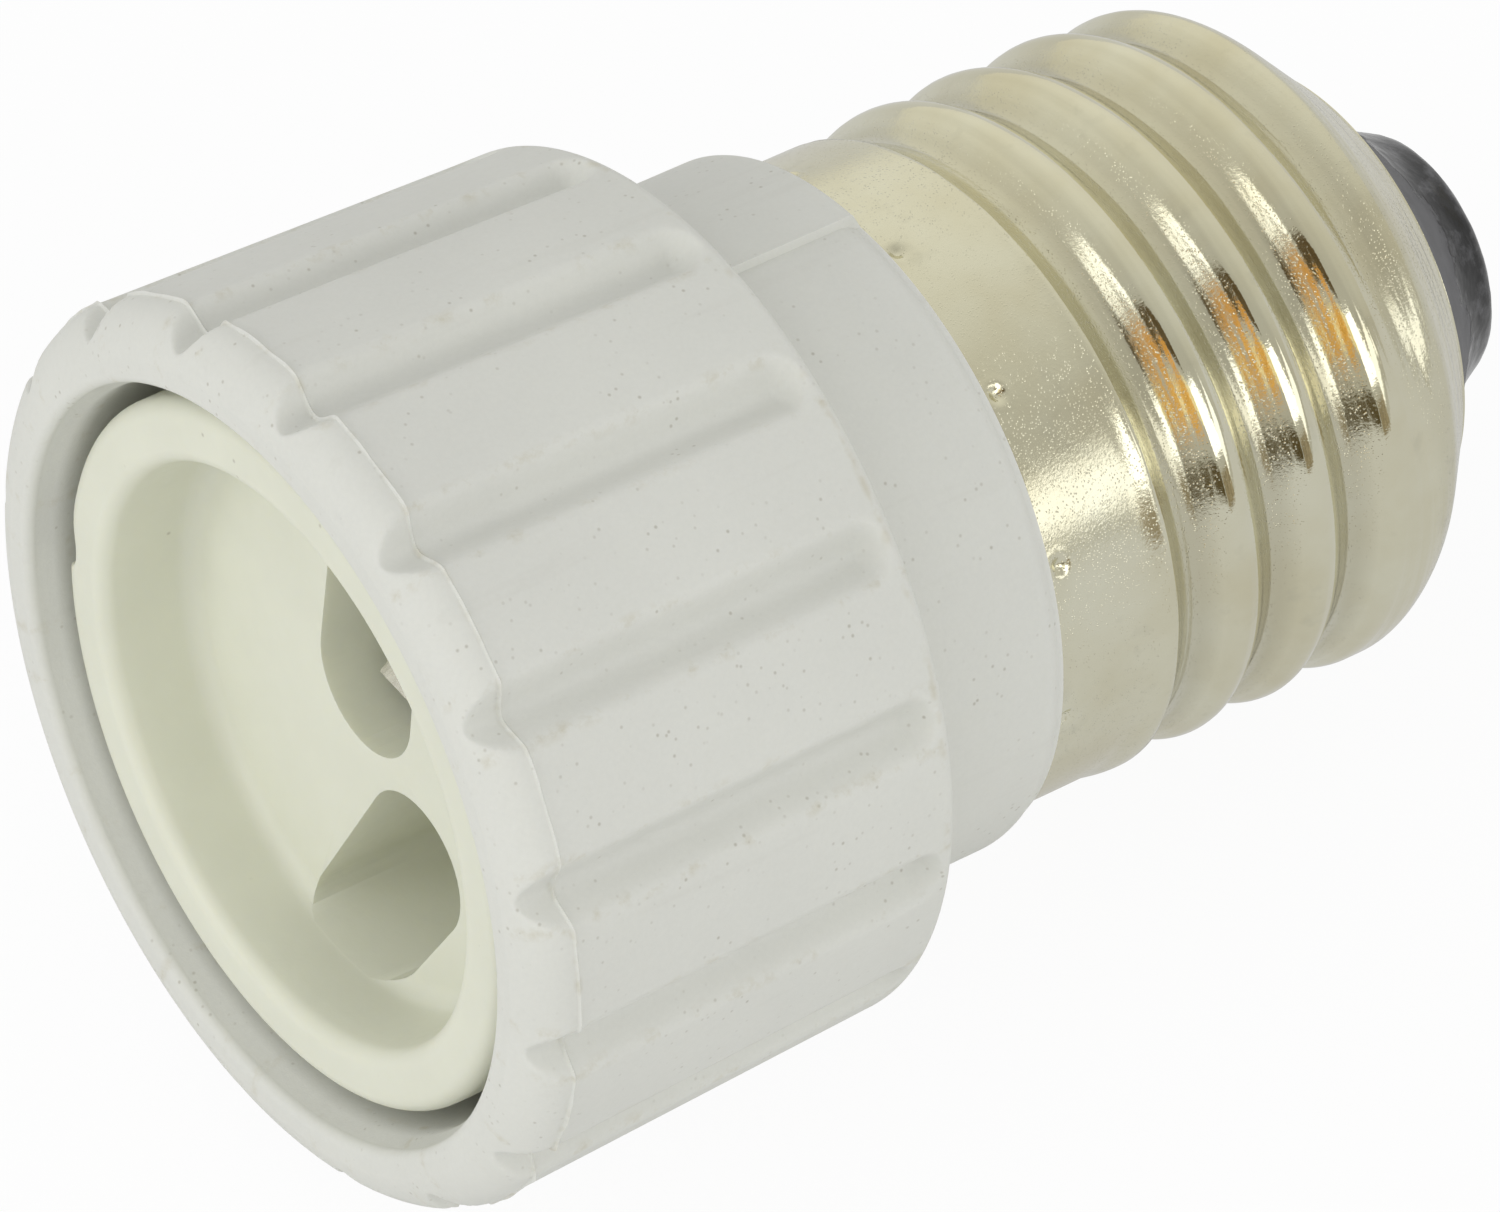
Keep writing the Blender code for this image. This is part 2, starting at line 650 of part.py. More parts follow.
def build_spring(name):
    """Build one contact spring: a bowed leaf, its tail through the slot and its riveted foot."""
    foot = SEAT + LEAF / 2
    path = [
        (FLOOR + 2.0 * MM, -1.75 * MM),
        (FLOOR + 2.5 * MM, -1.2 * MM),
        (FLOOR + 3.2 * MM, -0.8 * MM),
        (FLOOR + 4.0 * MM, -0.75 * MM),
        (FLOOR + 5.0 * MM, -1.1 * MM),
        (POCKET_FLOOR - 0.6 * MM, -1.4 * MM),
        (foot, -1.4 * MM),
        (foot, 3.8 * MM),
    ]
    spring = strip(f"{name}_spring", BRONZE, path, SPRING_WIDTH, spring_frame(name))
    return cut(spring, [rod("hole", PLAIN, rivet_point(name), RIVET_RADIUS + GAP, SEAT - MM, SEAT + LEAF + MM)])


def build_terminal(name, surface):
    """Build the ring terminal behind the plate, with its barrel round the end of the lead."""
    frame = spring_frame(name)
    start = PLATE_BACK + GAP
    outline = []
    ring = 2.0 * MM
    for i in range(13):
        angle = math.radians(30 + 300 * i / 12)
        outline.append(frame @ Vector((0, 2.2 * MM + ring * math.cos(angle), ring * math.sin(angle))))
    outline.append(frame @ Vector((0, 5.4 * MM, -1.0 * MM)))
    outline.append(frame @ Vector((0, 5.4 * MM, 1.0 * MM)))
    made = prism(f"{name}_terminal", [(p.y, p.z) for p in outline], start, start + LEAF)
    made.data.materials.clear()
    made.data.materials.append(surface)
    return cut(made, [rod("hole", PLAIN, rivet_point(name), RIVET_RADIUS + GAP, start - MM, start + LEAF + MM)])


def build_rivet(name):
    """Build the rivet through the spring's foot, the plate and the terminal."""
    front = SEAT - GAP
    back = PLATE_BACK + GAP + LEAF + GAP
    profile = [
        (front - 0.45 * MM, 0),
        (front - 0.45 * MM, RIVET_HEAD * 0.7),
        (front - 0.2 * MM, RIVET_HEAD),
        (front, RIVET_HEAD),
        (front, RIVET_RADIUS),
        (back, RIVET_RADIUS),
        (back, RIVET_HEAD),
        (back + 0.2 * MM, RIVET_HEAD),
        (back + 0.5 * MM, RIVET_HEAD * 0.6),
        (back + 0.5 * MM, 0),
    ]
    rivet = turned(f"{name}_rivet", BRONZE, profile, 12)
    rivet.data.transform(Matrix.Translation(rivet_point(name)))
    return rivet


def sweep_rings(path, radius, sides=6):
    """Return rings of one radius square to a path, without twist."""
    rings = []
    normal = None
    for i, point in enumerate(path):
        before = path[max(i - 1, 0)]
        after = path[min(i + 1, len(path) - 1)]
        along = (after - before).normalized()
        if normal is None:
            normal = along.orthogonal().normalized()
        normal = (normal - along * normal.dot(along)).normalized()
        other = along.cross(normal)
        rings.append([point + radius * (normal * math.cos(a) + other * math.sin(a)) for a in even(sides)])
    return rings


def smooth_path(points, steps=3):
    """Return a Catmull-Rom curve through the points."""
    ends = [2 * points[0] - points[1], *points, 2 * points[-1] - points[-2]]
    path = []
    for i in range(1, len(ends) - 2):
        a, b, c, d = ends[i - 1 : i + 3]
        for step in range(steps):
            t = step / steps
            path.append(
                0.5 * (2 * b + (c - a) * t + (2 * a - 5 * b + 4 * c - d) * t**2 + (3 * b - a - 3 * c + d) * t**3)
            )
    path.append(points[-1])
    return path


def build_lead(name, points, bare):
    """Build a bare conductor along a path and the sleeve over its middle."""
    path = smooth_path(points)
    bm = bmesh.new()
    start, end = skin(bm, sweep_rings(path, WIRE_RADIUS))
    bm.faces.new(start)
    bm.faces.new(end)
    conductor = finish(bm, f"{name}_conductor", COPPER)
    covered = path[bare[0] : len(path) - bare[1]]
    bm = bmesh.new()
    inner = WIRE_RADIUS + GAP
    rings = sweep_rings(covered, inner + SLEEVE_WALL) + list(reversed(sweep_rings(covered, inner)))
    start, end = skin(bm, rings)
    join_rings(bm, end, start)
    sleeve = finish(bm, f"{name}_sleeve", SLEEVE)
    return [conductor, sleeve]


def build_leads():
    """Build both leads along the way that they take inside the collar and the shell."""
    made = []
    back = PLATE_BACK + 2 * GAP + LEAF
    live = spring_frame("live") @ Vector((0, LEAD_REACH, 0))
    neutral = spring_frame("neutral") @ Vector((0, LEAD_REACH, 0))
    tip = TIP_END + CONTACT_HEIGHT - 0.5 * MM
    made += build_lead(
        "live",
        [
            Vector((back, live.y, live.z)),
            Vector((back + 1.5 * MM, live.y, live.z)),
            Vector((COLLAR_END - 4.0 * MM, live.y * 0.95, live.z * 0.95)),
            Vector((NECK_END - 2.0 * MM, live.y * 0.5, live.z * 0.6)),
            Vector((SHELL_END - 6.0 * MM, 0, -1.2 * MM)),
            Vector((SHELL_END - 2.5 * MM, 0, 0)),
            Vector((SHELL_END + 1.0 * MM, 0, 0)),
            Vector((tip, 0, 0)),
        ],
        (3, 6),
    )
    ground = NECK_TIP_RADIUS - 0.9 * MM
    inside = NECK_TIP_RADIUS - NECK_WALL - WIRE_RADIUS - GAP - SLEEVE_WALL
    made += build_lead(
        "neutral",
        [
            Vector((back, neutral.y, neutral.z)),
            Vector((back + 1.5 * MM, neutral.y, neutral.z)),
            Vector((COLLAR_END - 3.0 * MM, neutral.y, neutral.z)),
            Vector((NECK_END - 2.0 * MM, 0.6 * MM, inside - 0.7 * MM)),
            Vector((NECK_END + 1.2 * MM, 0, inside + 0.1 * MM)),
            Vector((NECK_END + 2.6 * MM, 0, ground)),
        ],
        (3, 3),
    )
    made.append(build_solder("shell_solder", Vector((NECK_END + 3.9 * MM, 0, ground)), 0.9 * MM))
    made.append(build_solder("centre_solder", Vector((tip + GAP + 0.4 * MM, 0, 0)), 0.8 * MM, 0.5))
    return made


def lay_down(pieces, shell):
    """Lay the pieces on the rear edge of the grip and the shell, centred over the origin."""
    edge = around(GRIP_LENGTH - REAR_ROUNDING, GRIP_REAR_RADIUS, -math.pi / 2 + FLUTE_HALF_ANGLE)
    points = [vert.co for vert in shell.data.vertices]
    tilt = min(math.atan2(point.z - edge.z, point.x - edge.x) for point in points)
    turn = Matrix.Rotation(tilt, 4, "Y")
    along = [(turn @ vert.co).x for piece in pieces for vert in piece.data.vertices]
    move = Matrix.Translation((-(min(along) + max(along)) / 2, 0, -(turn @ edge).z))
    for piece in pieces:
        piece.matrix_world = move @ turn


for old in list(bpy.data.objects):
    bpy.data.objects.remove(old)

PLAIN = material("cutter", (0.5, 0.5, 0.5), 0.6)
PLASTIC = material("white_plastic", (0.74, 0.745, 0.735), 0.6)
CERAMIC = material("ceramic", (0.80, 0.82, 0.74), 0.4)
NICKEL = material("nickel_plate", (0.74, 0.70, 0.60), 0.3, 1.0)
INSULATOR = material("black_insulator", (0.02, 0.02, 0.022), 0.2)
BRONZE = material("plated_bronze", (0.72, 0.66, 0.52), 0.3, 1.0)
COPPER = material("copper", (0.72, 0.40, 0.26), 0.35, 1.0)
SLEEVE = material("sleeve", (0.80, 0.78, 0.70), 0.7)
SOLDER = material("solder", (0.60, 0.60, 0.62), 0.4, 1.0)

screw_shell = build_shell()
parts = [screw_shell, build_housing(), build_ceramic(), build_plate(), build_insulator(), build_contact()]
for side in POCKETS:
    parts += [build_spring(side), build_terminal(side, BRONZE), build_rivet(side)]
parts += build_leads()
lay_down(parts, screw_shell)
bpy.data.materials.remove(PLAIN)
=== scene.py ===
"""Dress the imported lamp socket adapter: its mouldings, rolled shell, ceramic body and stage."""

import math

import bmesh
import bpy
from mathutils import Euler, Matrix, Vector, noise


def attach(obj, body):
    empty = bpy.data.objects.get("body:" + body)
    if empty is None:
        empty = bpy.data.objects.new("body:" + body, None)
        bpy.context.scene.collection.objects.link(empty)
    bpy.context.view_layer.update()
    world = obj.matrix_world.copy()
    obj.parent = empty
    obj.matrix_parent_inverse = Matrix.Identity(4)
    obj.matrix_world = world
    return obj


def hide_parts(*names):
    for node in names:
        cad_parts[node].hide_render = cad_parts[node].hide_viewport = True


bl_info = {
    "name": "Lamp Socket Adapter",
    "version": (1, 0, 0),
    "blender": (4, 5, 0),
    "location": "3D View > Sidebar > Adapter",
    "description": "Builds the visible pieces and finishes of a lamp socket adapter",
    "category": "Object",
}

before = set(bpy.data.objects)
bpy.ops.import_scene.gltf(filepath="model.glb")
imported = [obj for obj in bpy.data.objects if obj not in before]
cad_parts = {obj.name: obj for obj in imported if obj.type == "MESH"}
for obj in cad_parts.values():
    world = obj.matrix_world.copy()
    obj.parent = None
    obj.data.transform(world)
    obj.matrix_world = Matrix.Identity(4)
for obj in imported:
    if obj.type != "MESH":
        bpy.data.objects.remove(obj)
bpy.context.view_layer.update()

MM = 0.001
BODY = "root"

# How the adapter lies: its tilt about Y and the centre of its mouth
TILT = math.asin(0.15644676983356476)
MOUTH = Vector((-0.025762230157852173, 0.0, 0.01978546753525734))
LAY = Matrix.Translation(MOUTH) @ Matrix.Rotation(TILT, 4, "Y")

# Camera of the photograph in the adapter's own axes, in millimetres
CAMERA_PLACE = Vector((-170.306, -230.354, 286.222))
CAMERA_LOOK = Vector((0.46205, 0.55233, -0.69385))
CAMERA_UP = Vector((0.36750, 0.59280, 0.71661))
CAMERA_LENS = 269.64
CAMERA_SENSOR = 36.0

# The point that the lamps and the cards face, and how far from it they stand, in metres
ADAPTER_MIDDLE = Vector((0.0, 0.0, 0.015))
STUDIO_DISTANCE = 1.2

# Each lamp's name, compass angle, height angle, size in metres and glow
LAMPS = (
    ("key", 268.0, 29.0, (0.8, 0.5), 1.6),
    ("side", 306.0, 15.0, (0.8, 0.34), 0.95),
    ("front", 172.0, 24.0, (1.0, 0.75), 1.7),
    ("top", 187.0, 57.0, (0.5, 0.2), 1.2),
)

# Each card's name, compass angle, height angle, size in metres and tint
CARDS = (
    ("deep_gold", 217.0, 43.0, (0.34, 0.24), (0.86, 0.43, 0.09)),
    ("gold", 226.0, 28.0, (0.26, 0.38), (1.0, 0.55, 0.13)),
    ("pale_gold", 241.0, 33.0, (0.28, 0.30), (1.15, 0.98, 0.58)),
    ("dark_above", 241.0, 54.5, (0.50, 0.34), (0.14, 0.10, 0.05)),
    ("dark_below", 240.0, 7.0, (0.44, 0.22), (0.12, 0.09, 0.04)),
    ("tan_below", 271.0, 5.0, (0.7, 0.28), (0.36, 0.30, 0.20)),
)


def length(name, description, default):
    """Return a length property in metres."""
    return bpy.props.FloatProperty(
        name=name,
        description=description,
        default=default,
        min=0.0,
        precision=5,
        subtype="DISTANCE",
        unit="LENGTH",
    )


def turn(name, description, degrees):
    """Return an angle property."""
    return bpy.props.FloatProperty(
        name=name, description=description, default=math.radians(degrees), subtype="ANGLE", unit="ROTATION"
    )


def colour(name, description, default):
    """Return a colour property."""
    return bpy.props.FloatVectorProperty(
        name=name, description=description, default=default, size=3, min=0.0, max=1.0, subtype="COLOR"
    )


class HousingSizes(bpy.types.PropertyGroup):
    """Sizes of the white moulding."""

    grip_front: length("Grip front radius", "Radius of the panels behind the bevel", 0.0177)
    grip_rear: length("Grip rear radius", "Radius of the panels at the rear", 0.0172)
    grip_length: length("Grip length", "From the mouth to the grip's rear face", 0.01875)
    bevel: length("Bevel length", "Length of the rounded front edge", 0.00175)
    mouth: length("Mouth radius", "Radius of the hole at the front face", 0.0153)
    face: length("Face radius", "Outer radius of the flat front face", 0.0159)
    bore: length("Bore radius", "Radius of the bore behind its chamfer", 0.0147)
    seat: length("Seat radius", "Radius of the bore at the ceramic's seat", 0.01435)
    flute_depth: length("Flute depth", "Depth of a flute", 0.001)
    flute_half: turn("Flute half angle", "Half of the angle that a flute takes", 4.4)
    flute_count: bpy.props.IntProperty(
        name="Flutes", description="Number of flutes round the grip", default=16, min=1
    )
    flash: length("Flash height", "Height of the fine line left where the mould closes", 0.00016)
    upper: length("Upper collar radius", "Radius of the collar's upper half", 0.01398)
    lower: length("Lower collar radius", "Radius of the collar's lower half", 0.01372)
    collar_length: length("Collar length", "From the grip to the shell", 0.0075)
    parting: turn("Parting angle", "Where the two halves of the collar meet", 86.4)


class CeramicSizes(bpy.types.PropertyGroup):
    """Sizes of the ceramic socket body."""

    radius: length("Outer radius", "Radius of the body in the bore", 0.0139)
    setback: length("Setback", "Distance of the rim behind the mouth", 0.001)
    back: length("Back", "Distance of the back from the mouth", 0.0166)
    rounding: length("Rim rounding", "Rounding of both edges of the rim", 0.0007)
    cup: length("Cup radius", "Radius of the cup", 0.0114)
    floor: length("Floor", "Distance of the cup's floor from the mouth", 0.0049)
    keyway: length("Keyway depth", "Depth of the keyway in the outer wall", 0.0008)
    pocket: length("Pocket radius", "Radius of a pocket's round end", 0.00285)
    pocket_floor: length("Pocket floor", "Distance of the pockets' floor from the mouth", 0.0115)
    pocket_corner: length("Pocket corner", "Rounding of the pockets' corners at the cup's wall", 0.0013)
    pocket_edge: length("Pocket edge", "Rounding of the pockets' edge", 0.0006)


class ShellSizes(bpy.types.PropertyGroup):
    """Sizes of the rolled screw shell."""

    start: length("Start", "Distance of the skirt's edge from the mouth", 0.02655)
    thread: length("Thread start", "Distance of the first groove from the mouth", 0.03065)
    end: length("End", "Distance of the shell's end from the mouth", 0.0485)
    skirt: length("Skirt radius", "Radius of the plain skirt", 0.0129)
    crest: length("Crest radius", "Radius of the thread's crest", 0.0131)
    end_radius: length("End radius", "Radius of the hole for the insulator", 0.00925)
    shoulder: length("Shoulder length", "Length of the sloped shoulder", 0.0036)
    depth: length("Thread depth", "Depth of the thread", 0.0009)
    pitch: length("Pitch", "Advance of the thread in one turn", 0.003629)
    sheet: length("Sheet", "Thickness of the sheet", 0.0003)
    rounding: length("Shoulder rounding", "Rounding of the crest into the shoulder", 0.0012)
    turns: bpy.props.FloatProperty(name="Turns", description="Turns of the groove", default=3.927, min=1.0)
    thread_angle: turn("Thread angle", "Angle at which the groove starts", -108.8)
    punches: bpy.props.IntProperty(name="Punch marks", description="Number of punch marks", default=12, min=1)
    punch_angle: turn("Punch angle", "Angle of the first punch mark", 2.7)
    punch_place: length("Punch setback", "Distance of the marks from the skirt's edge", 0.0006)
    punch_depth: length("Punch depth", "Depth of a punch mark", 0.00024)


class TipSizes(bpy.types.PropertyGroup):
    """Sizes of the insulator and the centre contact."""

    height: length("Height", "Height of the insulator above the shell", 0.00505)
    lean: length("Lean", "Sideways lean of the fused insulator at its top", 0.00025)
    radius: length("Edge radius", "Radius of the insulator's front edge", 0.005)
    contact: length("Contact radius", "Radius of the centre contact", 0.0036)
    contact_height: length("Contact height", "Height of the centre contact", 0.0008)


class Finishes(bpy.types.PropertyGroup):
    """Colours of the finishes."""

    plastic: colour("Plastic", "Matt white moulding", (0.675, 0.68, 0.63))
    dirt: colour("Dirt", "Fine specks and traces on the moulding", (0.30, 0.27, 0.20))
    trace: colour("Trace", "Yellowed traces along the mould lines", (0.45, 0.40, 0.25))
    porcelain: colour("Porcelain", "Cream-white ceramic", (0.72, 0.73, 0.61))
    nickel: colour("Nickel", "Warm nickel plate", (0.80, 0.785, 0.63))
    glass: colour("Black glass", "Gloss of the fused insulator", (0.010, 0.010, 0.010))
    cone: colour("Insulator cone", "Matt flank of the fused insulator", (0.105, 0.105, 0.11))
    bronze: colour("Bronze", "Plated spring bronze", (0.60, 0.59, 0.52))
    copper: colour("Copper", "Bare copper", (0.72, 0.40, 0.26))
    sleeve: colour("Sleeve", "Woven sleeve", (0.78, 0.75, 0.66))
    solder: colour("Solder", "Dull solder", (0.60, 0.60, 0.62))


def open_tree(owner):
    """Return the emptied node tree of a material or a world."""
    owner.use_nodes = True
    owner.node_tree.nodes.clear()
    return owner.node_tree


def put(tree, kind, inputs=None, **settings):
    """Add a shader node, set it, link or fill its inputs, and return its outputs."""
    node = tree.nodes.new("ShaderNode" + kind)
    for key, value in settings.items():
        setattr(node, key, value)
    for key, value in (inputs or {}).items():
        if isinstance(value, bpy.types.NodeSocket):
            tree.links.new(value, node.inputs[key])
        else:
            node.inputs[key].default_value = value
    return node.outputs


def opaque(tint):
    """Return a colour with its fourth value, or a socket as it is."""
    return tint if isinstance(tint, bpy.types.NodeSocket) else (*tint, 1.0)


class Nodes:
    """Short calls that add and link the nodes of one material."""

    def __init__(self, name):
        """Start a material with an empty tree."""
        self.material = bpy.data.materials.new(name)
        self.tree = open_tree(self.material)
        self.place = self.put("TexCoord")["Object"]

    def put(self, kind, inputs=None, **settings):
        """Add a node to the material and return its outputs."""
        return put(self.tree, kind, inputs, **settings)

    def along_axis(self, stretch=(1.0, 1.0, 1.0)):
        """Return the place in the adapter's own axes, stretched along each."""
        back = LAY.inverted()
        turned = {"Vector": self.place, "Rotation": back.to_euler(), "Location": back.translation}
        laid = self.put("Mapping", turned)["Vector"]
        return self.put("Mapping", {"Vector": laid, "Scale": stretch})["Vector"]

    def apart(self):
        """Return the place along each of the adapter's own axes."""
        return self.put("SeparateXYZ", {"Vector": self.along_axis()})

    def noise(self, scale, detail, roughness=0.55, place=None):
        """Return the value of a noise texture."""
        inputs = {"Vector": place or self.place, "Scale": scale, "Detail": detail, "Roughness": roughness}
        return self.put("TexNoise", inputs)["Fac"]

    def patches(self, scale, detail, low, high, to_low=0.0, to_high=1.0):
        """Return a noise texture whose values are brought from one range to another."""
        return self.remap(self.noise(scale, detail), low, high, to_low, to_high)

    def cells(self, scale):
        """Return the distance from the nearest point of a scattered set."""
        return self.put("TexVoronoi", {"Vector": self.place, "Scale": scale})["Distance"]

    def remap(self, value, low, high, to_low=0.0, to_high=1.0):
        """Return a value brought from one range to another."""
        span = {"Value": value, "From Min": low, "From Max": high, "To Min": to_low, "To Max": to_high}
        return self.put("MapRange", span)["Result"]

    def maths(self, operation, first, second=0.0):
        """Return the result of one operation on two values."""
        return self.put("Math", {0: first, 1: second}, operation=operation)["Value"]

    def product(self, first, *others):
        """Return the product of several values."""
        for other in others:
            first = self.maths("MULTIPLY", first, other)
        return first

    def mix(self, share, first, second):
        """Return a mix of two colours, which are the node's sockets 6 and 7 and its output 2."""
        inputs = {"Factor": share, 6: opaque(first), 7: opaque(second)}
        return self.put("Mix", inputs, data_type="RGBA")[2]

    def bump(self, height, distance, strength, under=None):
        """Return a normal that a height lifts by a distance."""
        inputs = {"Height": height, "Distance": distance, "Strength": strength}
        if under:
            inputs["Normal"] = under
        return self.put("Bump", inputs)["Normal"]

    def finish(self, base, roughness, normal, **plain):
        """Return the material with a shader of this colour, roughness, normal and these plain values."""
        inputs = {"Base Color": base, "Roughness": roughness, "Normal": normal}
        inputs.update((name.replace("_", " "), value) for name, value in plain.items())
        shader = self.put("BsdfPrincipled", inputs)["BSDF"]
        self.put("OutputMaterial", {"Surface": shader})
        return self.material


def moulded_plastic():
    """Return matt white plastic with fine dirt, a faint grain and traces of the mould."""
    finishes = bpy.context.scene.adapter_finishes
    made = Nodes("moulded_plastic")
    white = Vector(finishes.plastic)
    grain = made.noise(5200.0, 3.0, 0.6)
    broad = made.patches(120.0, 4.0, 0.35, 0.65, 0.0, 0.5)
    cloud = made.maths("ADD", broad, made.remap(grain, 0.3, 0.7, 0.0, 0.5))
    base = made.mix(cloud, white * 0.97, white * 1.03)
    specks = made.remap(made.cells(2100.0), 0.19, 0.06)
    where = made.patches(330.0, 3.0, 0.46, 0.62)
    base = made.mix(made.product(specks, where, 0.5), base, finishes.dirt)
    drag = made.remap(made.noise(900.0, 3.0, 0.6, made.along_axis((0.06, 1.0, 1.0))), 0.62, 0.78)
    base = made.mix(made.product(drag, 0.07), base, finishes.dirt)
    x, y, z = made.apart()
    patch = made.remap(made.noise(700.0, 3.0, 0.65), 0.5, 0.68)
    sizes = bpy.context.scene.adapter_housing
    for place, share in ((sizes.bevel, 0.34), (sizes.grip_length - 0.45 * MM, 0.36)):
        away = made.maths("ABSOLUTE", made.maths("SUBTRACT", x, place))
        close = made.remap(away, 0.00022, 0.00003)
        base = made.mix(made.product(close, patch, share), base, finishes.trace)
    pitch = math.tau / sizes.flute_count
    angle = made.maths("ADD", made.maths("ARCTAN2", z, y), math.pi / 2 + pitch / 2)
    since = made.maths("SUBTRACT", made.maths("FLOORED_MODULO", angle, pitch), pitch / 2)
    away = made.maths("SUBTRACT", made.maths("ABSOLUTE", since), sizes.flute_half * 0.9)
    edge = made.remap(made.maths("ABSOLUTE", away), 0.022, 0.0)
    grip = made.remap(x, sizes.grip_length + 0.0002, sizes.grip_length)
    broken = made.remap(made.noise(900.0, 4.0, 0.7), 0.52, 0.7)
    base = made.mix(made.product(edge, grip, broken, 0.38), base, finishes.trace)
    normal = made.bump(grain, 0.000016, 0.6)
    streak = made.noise(1500.0, 2.0, 0.5, made.along_axis((0.05, 1.0, 1.0)))
    normal = made.bump(streak, 0.000012, 0.35, normal)
    rough = made.patches(2600.0, 2.0, 0.3, 0.7, 0.52, 0.66)
    soft = {"Subsurface_Weight": 0.2, "Subsurface_Radius": (1.0, 0.95, 0.85), "Subsurface_Scale": 0.0008}
    return made.finish(base, rough, normal, Specular_IOR_Level=0.42, **soft)


def porcelain():
    """Return unglazed porcelain with a soft body and sparse dark specks."""
    finishes = bpy.context.scene.adapter_finishes
    made = Nodes("porcelain")
    cream = Vector(finishes.porcelain)
    base = made.mix(made.patches(260.0, 3.0, 0.35, 0.65), cream * 0.985, cream * 1.015)
    specks = made.remap(made.cells(900.0), 0.10, 0.03)
    where = made.patches(300.0, 1.0, 0.58, 0.64)
    base = made.mix(made.product(specks, where, 0.5), base, finishes.dirt)
    normal = made.bump(made.noise(2400.0, 3.0), 0.00002, 0.4)
    rough = made.patches(1800.0, 2.0, 0.3, 0.7, 0.38, 0.5)
    soft = {"Subsurface_Weight": 0.25, "Subsurface_Radius": (1.0, 0.9, 0.6), "Subsurface_Scale": 0.0009}
    return made.finish(base, rough, normal, Specular_IOR_Level=0.45, **soft)


def nickel_plate():
    """Return warm nickel plate: satin and sparkling where it is plain, burnished on the thread's crests, with
    painted shade in the thread's grooves.
    """
    finishes = bpy.context.scene.adapter_finishes
    sizes = bpy.context.scene.adapter_shell
    crest, pitch = sizes.crest, sizes.pitch
    made = Nodes("nickel_plate")
    nickel = Vector(finishes.nickel)
    cloud = made.patches(150.0, 4.0, 0.35, 0.65)
    base = made.mix(cloud, nickel, (nickel.x * 0.9, nickel.y * 0.87, nickel.z * 0.8))
    stains = made.patches(650.0, 3.0, 0.6, 0.78)
    base = made.mix(made.product(stains, 0.25), base, nickel * 0.6)
    x, y, z = made.apart()
    radius = made.maths("SQRT", made.maths("ADD", made.product(y, y), made.product(z, z)))
    high = made.remap(radius, crest - 0.6 * MM, crest - 0.1 * MM)
    threaded = made.remap(x, sizes.thread + 0.55 * MM, sizes.thread + 2.35 * MM)
    rubbed = made.product(high, threaded)
    # Painted shade: the colour darkens down in the thread's grooves, short of the shoulder
    deep = made.remap(radius, crest - 0.4 * MM, crest - 0.85 * MM)
    before = made.remap(x, sizes.end - 2.3 * MM, sizes.end - 3.7 * MM)
    groove_shade = made.product(deep, threaded, before, 0.32)
    base = made.mix(groove_shade, base, (nickel.x * 0.5, nickel.y * 0.48, nickel.z * 0.44))
    grit = made.product(made.noise(7000.0, 3.0, 0.6), made.remap(rubbed, 0.0, 1.0, 1.0, 0.3))
    normal = made.bump(grit, 0.000016, 0.5)
    kept = made.remap(rubbed, 0.0, 1.0, 1.0, 0.1)
    where = made.patches(2600.0, 2.0, 0.36, 0.52)
    pimples = made.product(made.remap(made.cells(8500.0), 0.32, 0.0), kept, where)
    normal = made.bump(pimples, 0.000016, 1.0, normal)
    angle = made.maths("ARCTAN2", z, y)
    course = made.maths("SUBTRACT", made.product(x, math.tau / pitch), angle)
    circle = [made.product(made.maths(way, course), pitch / math.tau) for way in ("COSINE", "SINE")]
    wound = made.put("CombineXYZ", {"X": circle[0], "Y": circle[1], "Z": made.product(y, 0.06)})
    ripple = made.product(made.noise(1600.0, 1.5, 0.45, wound["Vector"]), threaded)
    normal = made.bump(ripple, 0.00012, 0.9, normal)
    uneven = made.patches(900.0, 3.0, 0.3, 0.7, -0.03, 0.03)
    rough = made.maths("ADD", made.remap(rubbed, 0.0, 1.0, 0.15, 0.07), uneven)
    return made.finish(base, rough, normal, Metallic=1.0)


def black_glass():
    """Return the fused black insulator, whose matt flank turns into a mottled gloss at an uneven line."""
    finishes = bpy.context.scene.adapter_finishes
    made = Nodes("black_glass")
    edge = bpy.context.scene.adapter_shell.end + 2.6 * MM
    x = made.apart()["X"]
    wander = made.remap(made.noise(420.0, 4.0, 0.6), 0.3, 0.7, -0.0007, 0.0007)
    gloss = made.remap(made.maths("ADD", x, wander), edge - 0.00012, edge + 0.00012)
    mottle = made.remap(made.noise(900.0, 4.0, 0.6), 0.5, 0.7, 0.0, 0.8)
    black = made.mix(mottle, finishes.glass, Vector(finishes.cone) * 1.1)
    cloud = made.patches(800.0, 3.0, 0.35, 0.65)
    flank = made.mix(cloud, Vector(finishes.cone) * 0.9, Vector(finishes.cone) * 1.15)
    base = made.mix(gloss, flank, black)
    waves = made.product(made.noise(650.0, 3.0), gloss)
    normal = made.bump(waves, 0.00012, 0.5)
    normal = made.bump(made.noise(4200.0, 2.0), 0.00001, 0.3, normal)
    rough = made.remap(gloss, 0.0, 1.0, 0.5, 0.12)
    return made.finish(base, rough, normal, Specular_IOR_Level=0.3)


def worked_metal(name, base_colour, low, high):
    """Return a small worked metal with drawn grain and uneven gloss."""
    made = Nodes(name)
    tone = Vector(base_colour)
    base = made.mix(made.patches(600.0, 3.0, 0.35, 0.7), tone, tone * 0.85)
    grain = made.noise(3000.0, 3.0, 0.6, made.along_axis((0.1, 1.0, 1.0)))
    rough = made.patches(1500.0, 2.0, 0.3, 0.7, low, high)
    return made.finish(base, rough, made.bump(grain, 0.00001, 0.5), Metallic=1.0)


